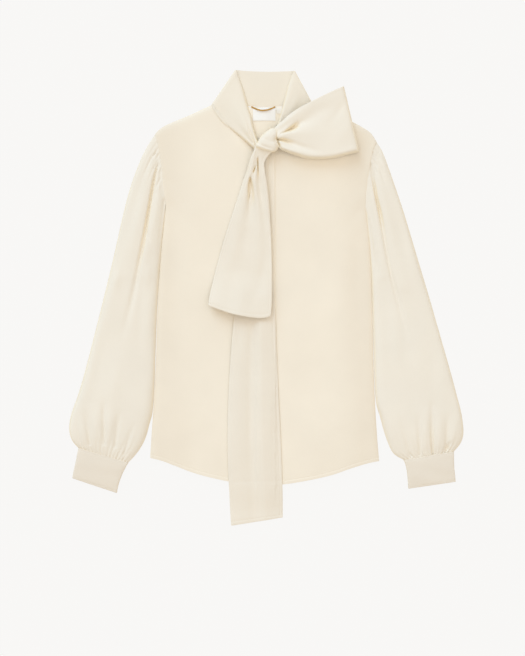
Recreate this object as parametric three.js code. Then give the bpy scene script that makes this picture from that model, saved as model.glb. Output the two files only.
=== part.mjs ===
// A tie neck blouse laid flat on a surface, front up.
// Millimetres, +Z up, +Y towards the neck, +X towards the wearer's left.
// The origin is the middle of the footprint, on the surface.
// Cloth pieces are walls with a small gap between them at the seams.
import * as THREE from 'three';

// ---- driving sizes -------------------------------------------------------
const CLOTH = 1.0;          // one layer of the blouse's cloth
const FOLDED = 1.6;         // a folded band: collar, placket
const TIE = 1.4;            // the tie's doubled strip
const CUFF_WALL = 1.4;      // the cuffs' wall
const SEAM_GAP = 0.3;       // between two pieces sewn together
const LAY_GAP = 0.6;        // between a piece and what lies on it
const BODY_PUFF = 2.4;      // how far the fronts stand off the back at most
const PLACKET_LEFT = -16.4; // the placket's seam
const PLACKET_RIGHT = 15.4; // the placket's free edge
const SLEEVE_SIDE_GAP = 0.8; // sleeve beside the body's side edge
const LABEL_THICK = 0.6;
const LOOP_CORD = 2.4;      // the hanger loop's diameter

const BLOUSE = { color: 0xf1e8d7, roughness: 0.78, metalness: 0 };
const TIE_CLOTH = { color: 0xeee4d2, roughness: 0.78, metalness: 0 };
const CUFF_CLOTH = { color: 0xeadfcc, roughness: 0.78, metalness: 0 };
const LABEL_WHITE = { color: 0xfbfaf6, roughness: 0.6, metalness: 0 };
const CORD_GOLD = { color: 0xb98a3c, roughness: 0.5, metalness: 0 };

// ---- small tools ---------------------------------------------------------
const columns = (names, ...rows) => rows.map((row) =>
  Object.fromEntries(names.split(' ').map((name, i) => [name, row[i]])));
const lerp = (a, b, t) => a + (b - a) * t;
const smooth = (t) => { const c = Math.min(1, Math.max(0, t)); return c * c * (3 - 2 * c); };
const between = (a, b, t) => ({ x: lerp(a.x, b.x, t), y: lerp(a.y, b.y, t) });

// value of column `of` at `at` in a table whose column `by` rises
function look(rows, by, of, at) {
  if (at <= rows[0][by]) return rows[0][of];
  for (let i = 1; i < rows.length; i += 1) {
    if (at <= rows[i][by]) {
      return lerp(rows[i - 1][of], rows[i][of], (at - rows[i - 1][by]) / (rows[i][by] - rows[i - 1][by]));
    }
  }
  return rows[rows.length - 1][of];
}

// point at fraction t of a table's rows, counted by row
function along(rows, t) {
  const s = Math.min(rows.length - 1, Math.max(0, t * (rows.length - 1)));
  const i = Math.min(rows.length - 2, Math.floor(s));
  return between(rows[i], rows[i + 1], s - i);
}

// one row for each of n+1 steps, rows blended with a smooth curve through them
function refine(rows, n) {
  const keys = Object.keys(rows[0]).filter((k) => typeof rows[0][k] === 'number');
  const out = [];
  for (let i = 0; i <= n; i += 1) {
    const s = (i / n) * (rows.length - 1);
    const k = Math.min(rows.length - 2, Math.floor(s));
    const t = s - k;
    const a = rows[Math.max(0, k - 1)];
    const b = rows[k];
    const c = rows[k + 1];
    const d = rows[Math.min(rows.length - 1, k + 2)];
    const row = {};
    for (const key of keys) {
      row[key] = 0.5 * ((2 * b[key]) + (c[key] - a[key]) * t
        + (2 * a[key] - 5 * b[key] + 4 * c[key] - d[key]) * t * t
        + (3 * b[key] - a[key] - 3 * c[key] + d[key]) * t * t * t);
    }
    out.push(row);
  }
  return out;
}

// a closed wall between two grids of points of the same size;
// `round` joins the last column to the first, as in a tube
function wall(first, second, round = false) {
  const m = first.length;
  const n = first[0].length;
  const spots = [];
  for (const grid of [first, second]) for (const row of grid) for (const p of row) spots.push(p.x, p.y, p.z);
  const id = (g, i, j) => g * m * n + i * n + (j % n);
  const faces = [];
  const quad = (a, b, c, d) => faces.push(a, b, c, a, c, d);
  const last = round ? n : n - 1;
  for (let i = 0; i < m - 1; i += 1) {
    for (let j = 0; j < last; j += 1) {
      quad(id(0, i, j), id(0, i, j + 1), id(0, i + 1, j + 1), id(0, i + 1, j));
      quad(id(1, i, j), id(1, i + 1, j), id(1, i + 1, j + 1), id(1, i, j + 1));
    }
    if (!round) {
      quad(id(0, i, 0), id(0, i + 1, 0), id(1, i + 1, 0), id(1, i, 0));
      quad(id(0, i, n - 1), id(1, i, n - 1), id(1, i + 1, n - 1), id(0, i + 1, n - 1));
    }
  }
  for (let j = 0; j < last; j += 1) {
    quad(id(0, 0, j), id(1, 0, j), id(1, 0, j + 1), id(0, 0, j + 1));
    quad(id(0, m - 1, j), id(0, m - 1, j + 1), id(1, m - 1, j + 1), id(1, m - 1, j));
  }
  return solid(spots, faces);
}

// a geometry from points and triangles, turned so that its faces point out
function solid(spots, faces) {
  let volume = 0;
  const at = (k) => new THREE.Vector3(spots[3 * k], spots[3 * k + 1], spots[3 * k + 2]);
  for (let f = 0; f < faces.length; f += 3) {
    volume += at(faces[f]).dot(at(faces[f + 1]).cross(at(faces[f + 2])));
  }
  const turned = [];
  for (let f = 0; f < faces.length; f += 3) {
    if (volume < 0) turned.push(faces[f], faces[f + 2], faces[f + 1]);
    else turned.push(faces[f], faces[f + 1], faces[f + 2]);
  }
  const geometry = new THREE.BufferGeometry();
  geometry.setAttribute('position', new THREE.Float32BufferAttribute(spots, 3));
  geometry.setIndex(turned);
  geometry.computeVertexNormals();
  return geometry;
}

// a sheet that lies on something: its underside is the grid, its top is `thick` above
const laid = (grid, thick) => wall(grid, grid.map((row) => row.map((p) => ({ x: p.x, y: p.y, z: p.z + thick }))));

// a sheet that folds over: half of `thick` to each side of the grid
function bent(grid, thick) {
  const m = grid.length;
  const n = grid[0].length;
  const side = (sign) => grid.map((row, i) => row.map((p, j) => {
    const v = (q) => new THREE.Vector3(q.x, q.y, q.z);
    const du = v(grid[Math.min(m - 1, i + 1)][j]).sub(v(grid[Math.max(0, i - 1)][j]));
    const dv = v(row[Math.min(n - 1, j + 1)]).sub(v(row[Math.max(0, j - 1)]));
    const normal = du.cross(dv).normalize().multiplyScalar((sign * thick) / 2);
    return v(p).add(normal);
  }));
  return wall(side(1), side(-1));
}

// height of soft ridges (or troughs) at x, y, from a table of folds
function folds(table, x, y) {
  let height = 0;
  for (const f of table) {
    const dx = f.x1 - f.x0;
    const dy = f.y1 - f.y0;
    const span = dx * dx + dy * dy;
    const t = ((x - f.x0) * dx + (y - f.y0) * dy) / span;
    const inside = Math.min(1, Math.max(0, t));
    const off = Math.hypot(x - f.x0 - dx * inside, y - f.y0 - dy * inside) / f.half;
    if (off < 1) height += f.rise * (1 - off * off) ** 2 * (0.35 + 0.65 * Math.sin(Math.PI * (0.15 + 0.7 * inside)));
  }
  return height;
}

// ---- the body's outline --------------------------------------------------
// side edges from the hem corner up to the underarm, x at each height
const SIDES = columns('y rightX leftX',
  [-294, -209.2, 203.2],
  [-250, -206.5, 199.5],
  [-184, -202.0, 195.5],
  [-112, -198.5, 193.0],
  [-40, -196.5, 191.5],
  [32, -193.0, 189.5],
  [104, -187.0, 185.5],
  [166, -180.5, 178.5]);

const HEM_RIGHT = columns('at x y',
  ['side', -209.2, -288.5], ['dip', -188, -293.5], ['curve', -163, -304.0], ['curve', -130, -316.5],
  ['low', -92, -325.5], ['low', -52, -333.0], ['placket', -16.7, -337.0]);
const HEM_LEFT = columns('at x y',
  ['underlap', -16.0, -337.5], ['low', 29.5, -336.0], ['low', 71.5, -329.0], ['curve', 118.5, -320.0],
  ['curve', 154.5, -306.5], ['rise', 185.0, -297.5], ['side', 203.2, -294.0]);
const TOP_RIGHT = columns('at x y',
  ['shoulder', -199.6, 295.4], ['shoulder', -177, 312.5], ['shoulder', -141, 327.0], ['neck point', -101, 345.0],
  ['neckline', -80.5, 318.0], ['neckline', -63.5, 303.0], ['neckline', -47, 290.0], ['neckline', -33, 277.0],
  ['placket', -16.7, 262.5]);
const TOP_LEFT = columns('at x y',
  ['underlap', -16.0, 262.5], ['centre', 0, 266.0], ['neckline', 19.5, 275.0], ['neckline', 39, 292.0],
  ['neckline', 66, 322.0], ['neck point', 93, 350.0], ['shoulder', 141, 322.0], ['shoulder', 184, 299.0],
  ['shoulder', 198.5, 281.0]);
const NECK_BACK = columns('at x y',
  ['right', -101, 345.0], ['right', -62, 344.6], ['middle', -2, 342.0], ['left', 57, 345.2], ['left', 93, 350.0]);
const ARMHOLE_RIGHT = columns('at x y',
  ['underarm', -180.5, 168.5], ['low', -184.0, 194], ['middle', -188.0, 229], ['high', -192.5, 263], ['shoulder', -199.6, 295.4]);
const ARMHOLE_LEFT = columns('at x y',
  ['underarm', 178.5, 160], ['low', 179.0, 185], ['middle', 182.5, 212], ['high', 191.5, 262], ['shoulder', 198.5, 281.0]);

const hemRightCorner = HEM_RIGHT[0];
const hemLeftCorner = HEM_LEFT[HEM_LEFT.length - 1];
// side edge, hem corner to underarm to shoulder, as points
const edgeRight = [hemRightCorner, ...SIDES.slice(1).map((r) => ({ x: r.rightX, y: r.y })), ...ARMHOLE_RIGHT.slice(1)];
const edgeLeft = [hemLeftCorner, ...SIDES.slice(1).map((r) => ({ x: r.leftX, y: r.y })), ...ARMHOLE_LEFT.slice(1)];

// how far the front's underside stands above the surface
function frontUnder(x, y) {
  const right = look(SIDES, 'y', 'rightX', y);
  const left = look(SIDES, 'y', 'leftX', y);
  const side = smooth(Math.min(x - right, left - x) / 70);
  const hem = 0.3 + 0.7 * smooth((y + 338) / 120);
  const neck = smooth((300 - y) / 140);
  const front = 0.45 + 0.55 * smooth(Math.abs(x) / 70);
  return CLOTH + SEAM_GAP + BODY_PUFF * side * hem * neck * front;
}

// a panel from its four edges, filled in between them
function panel(bottom, top, from, to, across, up, lift) {
  const grid = [];
  for (let i = 0; i <= up; i += 1) {
    const v = i / up;
    const row = [];
    for (let j = 0; j <= across; j += 1) {
      const u = j / across;
      const b = along(bottom, u);
      const t = along(top, u);
      const l = along(from, v);
      const r = along(to, v);
      const c = between(between(bottom[0], bottom[bottom.length - 1], u), between(top[0], top[top.length - 1], u), v);
      const x = lerp(b.x, t.x, v) + lerp(l.x, r.x, u) - c.x;
      const y = lerp(b.y, t.y, v) + lerp(l.y, r.y, u) - c.y;
      row.push({ x, y, z: lift(x, y) });
    }
    grid.push(row);
  }
  return grid;
}

// ---- back ----------------------------------------------------------------
function backSolid() {
  const outline = [
    ...HEM_RIGHT, ...HEM_LEFT.slice(1),
    ...edgeLeft.slice(1), ...[...TOP_LEFT].reverse().slice(1, 4),
    ...[...NECK_BACK].reverse().slice(1, -1),
    ...[...TOP_RIGHT].slice(1, 4).reverse(), ...[...edgeRight].reverse().slice(0, -1),
  ];
  const shape = new THREE.Shape(outline.map((p) => new THREE.Vector2(p.x, p.y)));
  return new THREE.ExtrudeGeometry(shape, { depth: CLOTH, bevelEnabled: false, steps: 1 });
}

// ---- fronts and placket --------------------------------------------------
const frontRight = panel(HEM_RIGHT, TOP_RIGHT, edgeRight,
  [HEM_RIGHT[HEM_RIGHT.length - 1], TOP_RIGHT[TOP_RIGHT.length - 1]], 8, 11, frontUnder);
const frontLeft = panel(HEM_LEFT, TOP_LEFT,
  [HEM_LEFT[0], TOP_LEFT[0]], edgeLeft, 8, 11, frontUnder);

function placketSolid() {
  const grid = [];
  const steps = 11;
  for (let i = 0; i <= steps; i += 1) {
    const v = i / steps;
    const row = [];
    for (let j = 0; j <= 2; j += 1) {
      const x = lerp(PLACKET_LEFT, PLACKET_RIGHT, j / 2);
      const y = lerp(-337.2, 262.5 + 4 * (j / 2), v);
      row.push({ x, y, z: frontUnder(x, y) + CLOTH + SEAM_GAP + 0.25 });
    }
    grid.push(row);
  }
  return laid(grid, FOLDED);
}
const placketTop = (x, y) => frontUnder(x, y) + CLOTH + SEAM_GAP + 0.25 + FOLDED;

// ---- sleeves -------------------------------------------------------------
// flattened tubes: a row for each section, its outer and inner edge,
// and how far the upper layer stands off the lower one
const SLEEVE_RIGHT = columns('at outerX outerY innerX innerY puff',
  ['armhole', -200.6, 295.0, -182.0, 168.5, 0.6],
  ['cap', -212.0, 277.0, -182.0, 164.0, 1.6],
  ['cap', -225.0, 252.0, -182.5, 154.5, 2.4],
  ['upper arm', -243.5, 201.0, -185.0, 129.0, 2.8],
  ['upper arm', -256.0, 154.5, -189.0, 93.0, 3.0],
  ['above elbow', -275.0, 71.5, -194.5, 25.0, 3.0],
  ['elbow', -292.0, 1.5, -197.6, -36.5, 3.0],
  ['below elbow', -310.0, -70.5, -199.8, -97.5, 3.0],
  ['forearm', -327.0, -135.5, -202.2, -157.0, 3.1],
  ['forearm', -340.5, -180.5, -205.2, -205.5, 3.2],
  ['fullest', -349.5, -205.5, -211.0, -229.0, 3.2],
  ['fullest', -354.5, -229.0, -217.5, -252.5, 3.2],
  ['blouse', -353.0, -247.0, -227.0, -270.5, 2.8],
  ['blouse', -347.0, -260.0, -238.0, -285.0, 2.0],
  ['cuff seam', -337.4, -270.4, -249.4, -296.4, 0.9]);
const SLEEVE_LEFT = columns('at outerX outerY innerX innerY puff',
  ['armhole', 200.0, 281.0, 180.0, 160.0, 0.6],
  ['cap', 209.0, 264.0, 180.2, 156.0, 1.6],
  ['cap', 220.0, 234.0, 181.0, 147.0, 2.4],
  ['upper arm', 234.5, 192.0, 183.2, 122.0, 2.8],
  ['upper arm', 248.0, 151.0, 187.4, 88.0, 3.0],
  ['above elbow', 272.0, 71.5, 190.6, 21.0, 3.0],
  ['elbow', 293.0, 1.5, 192.7, -40.0, 3.0],
  ['below elbow', 313.5, -70.5, 194.2, -101.0, 3.0],
  ['forearm', 332.5, -137.0, 196.6, -162.5, 3.1],
  ['forearm', 344.0, -180.5, 198.8, -191.0, 3.2],
  ['fullest', 350.5, -205.5, 205.0, -213.0, 3.2],
  ['fullest', 354.0, -229.0, 211.0, -236.0, 3.2],
  ['blouse', 354.5, -247.0, 218.0, -258.0, 2.8],
  ['blouse', 349.0, -262.5, 229.0, -279.5, 2.0],
  ['cuff seam', 337.4, -276.6, 248.4, -291.4, 0.9]);

// long soft folds of the sleeves, gathers at head and cuff
const SLEEVE_FOLDS = columns('name x0 y0 x1 y1 half rise',
  ['right head', -196.5, 262.0, -206, 192.0, 12, 1.6],
  ['right long', -206, 192.0, -240, 41.0, 14, 1.8],
  ['right long low', -240, 41.0, -277, -121.0, 18, 1.4],
  ['right cuff', -292, -180, -292, -245, 14, 1.8],
  ['right cuff outer', -322, -190, -314, -262, 12, 1.5],
  ['right cuff inner', -255, -205, -268, -276, 12, 1.5],
  ['left head', 190.5, 243.0, 202, 169.0, 12, 1.6],
  ['left long', 202, 169.0, 228, 14.0, 14, 1.8],
  ['left long low', 228, 14.0, 273, -112.0, 18, 1.4],
  ['left cuff', 299, -195, 299, -262, 14, 1.8],
  ['left cuff outer', 326, -185, 322, -258, 12, 1.5],
  ['left cuff inner', 262, -205, 272, -270, 12, 1.5]);

// keeps a sleeve's inner edge beside the body's side edge
function besideBody(r) {
  if (r.innerY < -290) return r;
  const clear = r.innerX < 0
    ? Math.min(r.innerX, look(SIDES, 'y', 'rightX', r.innerY) - SLEEVE_SIDE_GAP)
    : Math.max(r.innerX, look(SIDES, 'y', 'leftX', r.innerY) + SLEEVE_SIDE_GAP);
  return { ...r, innerX: clear };
}

function tube(rows, steps, across, thick, relief) {
  const outer = [];
  const inner = [];
  for (const r of refine(rows, steps).map(besideBody)) {
    const width = Math.hypot(r.innerX - r.outerX, r.innerY - r.outerY);
    const ringOut = [];
    const ringIn = [];
    const place = (u, z, list) => list.push({ x: lerp(r.outerX, r.innerX, u), y: lerp(r.outerY, r.innerY, u), z });
    const inset = thick / width;
    const low = 4;
    for (let j = 0; j <= low; j += 1) {
      const u = j / low;
      place(u, 0, ringOut);
      place(lerp(inset, 1 - inset, u), thick, ringIn);
    }
    for (let j = 0; j <= across; j += 1) {
      const u = 1 - j / across;
      const x = lerp(r.outerX, r.innerX, u);
      const y = lerp(r.outerY, r.innerY, u);
      const stand = Math.sin(Math.PI * u) ** 0.7;
      const top = 2 * thick + SEAM_GAP + (r.puff + relief(x, y)) * stand;
      place(u, top, ringOut);
      place(lerp(inset, 1 - inset, u), top - thick, ringIn);
    }
    outer.push(ringOut);
    inner.push(ringIn);
  }
  return wall(outer, inner, true);
}
const sleeveRelief = (x, y) => folds(SLEEVE_FOLDS, x, y);

// ---- cuffs ---------------------------------------------------------------
const CUFF_RIGHT = columns('at outerX outerY innerX innerY puff',
  ['seam', -337.4, -271.2, -249.4, -297.4, 0.6],
  ['middle', -343.5, -299.0, -261.5, -321.0, 0.9],
  ['edge', -349.0, -324.5, -269.5, -351.0, 0.6]);
const CUFF_LEFT = columns('at outerX outerY innerX innerY puff',
  ['seam', 337.4, -277.4, 248.4, -292.4, 0.6],
  ['middle', 338.0, -306.5, 254.5, -319.0, 0.9],
  ['edge', 340.8, -330.8, 256.3, -343.2, 0.6]);

// ---- collar --------------------------------------------------------------
// one folded strip: from the knot up the right front, round behind the neck
// and down the left front; free edge and sewn edge at each section
const COLLAR = columns('at freeX freeY freeZ sewnX sewnY sewnZ',
  ['at the knot', -16.5, 275.0, 6.8, -21.5, 268.0, 5.2],
  ['right front', -20.5, 295.0, 7.2, -32.5, 278.0, 4.8],
  ['right front', -26.5, 322.0, 7.4, -47.0, 290.6, 4.3],
  ['right front', -33.0, 347.0, 7.2, -63.5, 303.6, 4.1],
  ['right front', -42.0, 376.0, 6.4, -80.5, 318.6, 4.0],
  ['right front', -50.0, 397.0, 5.2, -91.0, 336.0, 4.0],
  ['right fold', -54.6, 409.3, 4.4, -93.5, 351.5, 4.2],
  ['right fold', -56.0, 409.9, 2.6, -95.0, 352.0, 2.6],
  ['right fold', -54.6, 409.8, 0.8, -93.5, 351.5, 0.8],
  ['back', -36.5, 408.0, 0.8, -62.0, 346.6, 0.8],
  ['back', -0.5, 406.5, 0.8, -2.0, 343.9, 0.8],
  ['back', 35.5, 407.2, 0.8, 57.0, 347.0, 0.8],
  ['left fold', 49.6, 408.2, 0.8, 79.0, 353.5, 0.8],
  ['left fold', 51.0, 408.4, 2.6, 80.5, 353.8, 2.6],
  ['left fold', 49.6, 407.8, 4.4, 79.4, 353.0, 4.2],
  ['left front', 45.5, 399.0, 5.0, 77.0, 338.4, 4.0],
  ['left front', 39.0, 383.0, 5.8, 66.4, 322.4, 4.0],
  ['left front', 34.0, 361.5, 6.2, 52.8, 306.0, 4.1],
  ['left front', 28.5, 340.5, 6.4, 39.2, 292.6, 4.3],
  ['left front', 22.0, 320.0, 6.6, 27.0, 282.6, 4.8],
  ['at the knot', 15.0, 297.5, 6.8, 19.5, 276.0, 5.2]);

function collarGrid() {
  return COLLAR.map((r) => {
    const row = [];
    for (let j = 0; j <= 3; j += 1) {
      const u = j / 3;
      const swell = (r.freeZ > 3 ? 0.9 : 0) * Math.sin(Math.PI * u);
      row.push({
        x: lerp(r.freeX, r.sewnX, u), y: lerp(r.freeY, r.sewnY, u), z: lerp(r.freeZ, r.sewnZ, u) + swell,
      });
    }
    return row;
  });
}

// ---- tie -----------------------------------------------------------------
// the loop's top layer out to its far fold, then its lower layer back
const LOOP = columns('at upX upY lowX lowY edge crown',
  ['top at knot', 19.5, 311.5, 29.5, 266.5, 15.0, 5.0],
  ['top', 33.0, 322.0, 36.5, 262.5, 15.2, 6.5],
  ['top', 58.0, 341.5, 61.5, 253.5, 15.0, 8.0],
  ['top', 88.0, 357.0, 93.0, 249.5, 14.5, 7.5],
  ['top', 111.0, 368.0, 117.5, 251.0, 13.5, 6.5],
  ['top', 128.0, 376.2, 146.0, 257.2, 12.3, 4.0],
  ['top at fold', 136.6, 380.0, 163.0, 261.5, 11.5, 2.2],
  ['fold', 139.0, 380.4, 166.2, 262.0, 8.8, 0.8],
  ['under at fold', 136.0, 379.6, 162.5, 262.0, 6.3, 0.0],
  ['under', 124.0, 375.0, 144.0, 258.5, 6.2, 0.0],
  ['under', 98.5, 360.5, 108.0, 252.5, 7.0, 0.4],
  ['under', 69.0, 346.0, 76.0, 252.5, 8.4, 0.6],
  ['under', 43.0, 328.0, 48.0, 260.0, 9.0, 0.6],
  ['under at knot', 22.0, 311.0, 31.0, 268.5, 9.2, 0.4]);

function loopGrid() {
  return LOOP.map((r) => {
    const row = [];
    for (let j = 0; j <= 8; j += 1) {
      const u = j / 8;
      const bow = r.crown * Math.sin(Math.PI * u) ** 0.8;
      const channel = r.crown > 3 ? -1.6 * Math.exp(-(((u - 0.42) / 0.12) ** 2)) : 0;
      row.push({
        x: lerp(r.upX, r.lowX, u), y: lerp(r.upY, r.lowY, u), z: r.edge + bow + channel,
      });
    }
    return row;
  });
}

// tails: left and right edge at each section, height of the underside,
// and how deep its lengthwise waves are
const SHORT_TAIL = columns('at leftX leftY rightX rightY lift wave',
  ['knot', -17.0, 255.0, -1.5, 252.0, 8.7, 0.0],
  ['below knot', -26.0, 240.0, -1.5, 240.0, 9.4, 0.5],
  ['narrow', -30.5, 223.0, 0.5, 223.0, 10.0, 1.6],
  ['narrow', -36.5, 205.0, 3.0, 203.5, 10.4, 2.4],
  ['opening', -47.0, 181.5, 6.5, 178.0, 10.4, 2.6],
  ['upper', -62.5, 140.0, 8.5, 136.5, 10.0, 2.2],
  ['middle', -79.0, 91.5, 10.0, 86.0, 10.0, 1.7],
  ['lower', -94.0, 37.5, 10.5, 28.5, 10.0, 1.4],
  ['lower', -102.0, 3.0, 10.0, -9.5, 10.2, 1.3],
  ['end', -105.0, -13.5, 7.5, -34.0, 10.4, 1.3]);
const SHORT_TAIL_PROFILE = columns('u rise',
  [0.0, -0.7], [0.12, -0.2], [0.34, 1.0], [0.5, -0.7], [0.62, 0.8], [0.8, 0.1], [1.0, -0.6]);
const LONG_TAIL = columns('at leftX leftY rightX rightY lift wave',
  ['knot', -14.0, 252.0, -1.0, 250.0, 0.4, 0.0],
  ['under the tail', -28.0, 194.0, 3.0, 194.0, 0.4, 0.0],
  ['under the tail', -42.0, 104.0, 8.5, 104.0, 0.4, 0.0],
  ['under the tail', -52.5, 14.0, 14.0, 14.0, 0.5, 0.1],
  ['showing', -58.5, -40.0, 16.5, -40.0, 0.7, 0.8],
  ['showing', -64.5, -112.0, 19.5, -112.0, 0.9, 1.3],
  ['showing', -68.0, -184.0, 23.0, -184.0, 1.0, 1.4],
  ['showing', -69.5, -256.0, 26.0, -256.0, 0.9, 1.3],
  ['at the hem', -68.0, -318.0, 28.5, -318.0, 0.5, 0.6],
  ['past the hem', -66.8, -346.0, 29.2, -344.0, 0.4, 0.3],
  ['on the surface', -65.4, -374.0, 29.6, -371.0, 0.0, 0.0],
  ['end', -63.0, -410.35, 29.8, -395.6, 0.0, 0.0]);
const LONG_TAIL_PROFILE = columns('u rise',
  [0.0, 0.0], [0.18, 1.2], [0.42, 0.2], [0.62, 1.3], [0.86, 0.1], [1.0, 0.5]);

function shortTailGrid() {
  return refine(SHORT_TAIL, 16).map((r) => {
    const row = [];
    for (let j = 0; j <= 12; j += 1) {
      const u = j / 12;
      const end = 0.02 * (r.leftY - r.rightY);
      row.push({
        x: lerp(r.leftX, r.rightX, u),
        y: lerp(r.leftY, r.rightY, u) - (end > 0.3 ? 9 * Math.sin(Math.PI * u) * smooth((20 - r.leftY) / 30) : 0),
        z: r.lift + r.wave * look(SHORT_TAIL_PROFILE, 'u', 'rise', u),
      });
    }
    return row;
  });
}

// the highest of what lies under the long tail, falling to the surface past the hem
function underTail(x, y) {
  const rest = placketTop(Math.min(PLACKET_RIGHT, Math.max(PLACKET_LEFT, x)), y) + LAY_GAP;
  return lerp(rest, 0, smooth((-342.5 - y) / 24));
}

function longTailGrid() {
  return refine(LONG_TAIL, 22).map((r) => {
    const row = [];
    for (let j = 0; j <= 10; j += 1) {
      const u = j / 10;
      const x = lerp(r.leftX, r.rightX, u);
      const y = lerp(r.leftY, r.rightY, u);
      row.push({ x, y, z: underTail(x, y) + Math.max(0, r.wave) * look(LONG_TAIL_PROFILE, 'u', 'rise', u) });
    }
    return row;
  });
}

// the knot: a rounded lump of wound strip; its outline by direction,
// and a crease across it where one turn crosses the other
const KNOT = { x: 0.0, y: 273.0, low: 9.9, high: 29.0, rings: 9, around: 20 };
const KNOT_OUTLINE = columns('turn reach',
  [0, 22.5], [30, 23.0], [60, 28.5], [90, 31.0], [120, 27.0], [150, 20.5],
  [180, 19.5], [210, 19.0], [240, 22.0], [262, 27.5], [280, 24.0], [300, 20.5], [330, 22.5], [360, 22.5]);
const KNOT_CREASE = columns('name x0 y0 x1 y1 half rise',
  ['crease', -12, 275, 14, 261, 6, -2.4]);

function knotSolid() {
  const spots = [];
  const faces = [];
  const { rings, around } = KNOT;
  const middle = (KNOT.low + KNOT.high) / 2;
  const half = (KNOT.high - KNOT.low) / 2;
  spots.push(KNOT.x, KNOT.y, KNOT.low);
  for (let i = 1; i < rings; i += 1) {
    const tilt = -Math.PI / 2 + (Math.PI * i) / rings;
    for (let j = 0; j < around; j += 1) {
      const turn = (360 * j) / around;
      const reach = look(KNOT_OUTLINE, 'turn', 'reach', turn) * Math.cos(tilt) ** 0.8;
      const x = KNOT.x + reach * Math.cos((turn * Math.PI) / 180);
      const y = KNOT.y + reach * Math.sin((turn * Math.PI) / 180);
      const z = middle + half * Math.sin(tilt) + (tilt > 0 ? folds(KNOT_CREASE, x, y) : 0);
      spots.push(x, y, z);
    }
  }
  spots.push(KNOT.x, KNOT.y, KNOT.high + folds(KNOT_CREASE, KNOT.x, KNOT.y));
  const top = spots.length / 3 - 1;
  const id = (i, j) => 1 + (i - 1) * around + (j % around);
  for (let j = 0; j < around; j += 1) {
    faces.push(0, id(1, j + 1), id(1, j));
    faces.push(top, id(rings - 1, j), id(rings - 1, j + 1));
    for (let i = 1; i < rings - 1; i += 1) {
      faces.push(id(i, j), id(i, j + 1), id(i + 1, j + 1), id(i, j), id(i + 1, j + 1), id(i + 1, j));
    }
  }
  return solid(spots, faces);
}

// ---- label, size tab, hanger loop ----------------------------------------
const LABEL = { left: -23.8, right: 16.6, low: 318.2, high: 341.0 };
const SIZE_TAB = { left: 18.6, right: 28.2, low: 331.0, high: 341.4 };
const HANGER = { from: [-25.5, 341.6], low: [-6.5, 336.2], to: [15.2, 341.6], z: 3.6 };

function tag(size) {
  const shape = new THREE.Shape([
    new THREE.Vector2(size.left, size.low), new THREE.Vector2(size.right, size.low),
    new THREE.Vector2(size.right, size.high), new THREE.Vector2(size.left, size.high)]);
  const geometry = new THREE.ExtrudeGeometry(shape, { depth: LABEL_THICK, bevelEnabled: false, steps: 1 });
  geometry.translate(0, 0, CLOTH + SEAM_GAP);
  return geometry;
}

function hangerSolid() {
  const [x0, y0] = HANGER.from;
  const [x1, y1] = HANGER.low;
  const [x2, y2] = HANGER.to;
  const path = new THREE.CatmullRomCurve3([
    new THREE.Vector3(x0, y0, HANGER.z), new THREE.Vector3(lerp(x0, x1, 0.5), lerp(y0, y1, 0.78), HANGER.z),
    new THREE.Vector3(x1, y1, HANGER.z), new THREE.Vector3(lerp(x1, x2, 0.5), lerp(y1, y2, 0.24), HANGER.z),
    new THREE.Vector3(x2, y2, HANGER.z)]);
  const section = new THREE.Shape();
  section.absellipse(0, 0, LOOP_CORD / 2, LOOP_CORD / 2, 0, Math.PI * 2);
  return new THREE.ExtrudeGeometry(section, { steps: 14, curveSegments: 4, bevelEnabled: false, extrudePath: path });
}

// ---- the blouse ----------------------------------------------------------
const blouse = new THREE.Group();
function add(name, geometry, look3) {
  const mesh = new THREE.Mesh(geometry, new THREE.MeshStandardMaterial(look3));
  mesh.name = name;
  blouse.add(mesh);
}

add('back', backSolid(), BLOUSE);
add('front_right', laid(frontRight, CLOTH), BLOUSE);
add('front_left', laid(frontLeft, CLOTH), BLOUSE);
add('placket', placketSolid(), BLOUSE);
add('sleeve_right', tube(SLEEVE_RIGHT, 20, 14, CLOTH, sleeveRelief), BLOUSE);
add('sleeve_left', tube(SLEEVE_LEFT, 20, 14, CLOTH, sleeveRelief), BLOUSE);
add('cuff_right', tube(CUFF_RIGHT, 3, 4, CUFF_WALL, () => 0), CUFF_CLOTH);
add('cuff_left', tube(CUFF_LEFT, 3, 4, CUFF_WALL, () => 0), CUFF_CLOTH);
add('collar_band', bent(collarGrid(), FOLDED), TIE_CLOTH);
add('bow_loop', bent(loopGrid(), TIE), TIE_CLOTH);
add('knot', knotSolid(), TIE_CLOTH);
add('short_tail', laid(shortTailGrid(), TIE), TIE_CLOTH);
add('long_tail', laid(longTailGrid(), TIE), TIE_CLOTH);
add('label', tag(LABEL), LABEL_WHITE);
add('size_tab', tag(SIZE_TAB), LABEL_WHITE);
add('hanger_loop', hangerSolid(), CORD_GOLD);

export default blouse;
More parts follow.
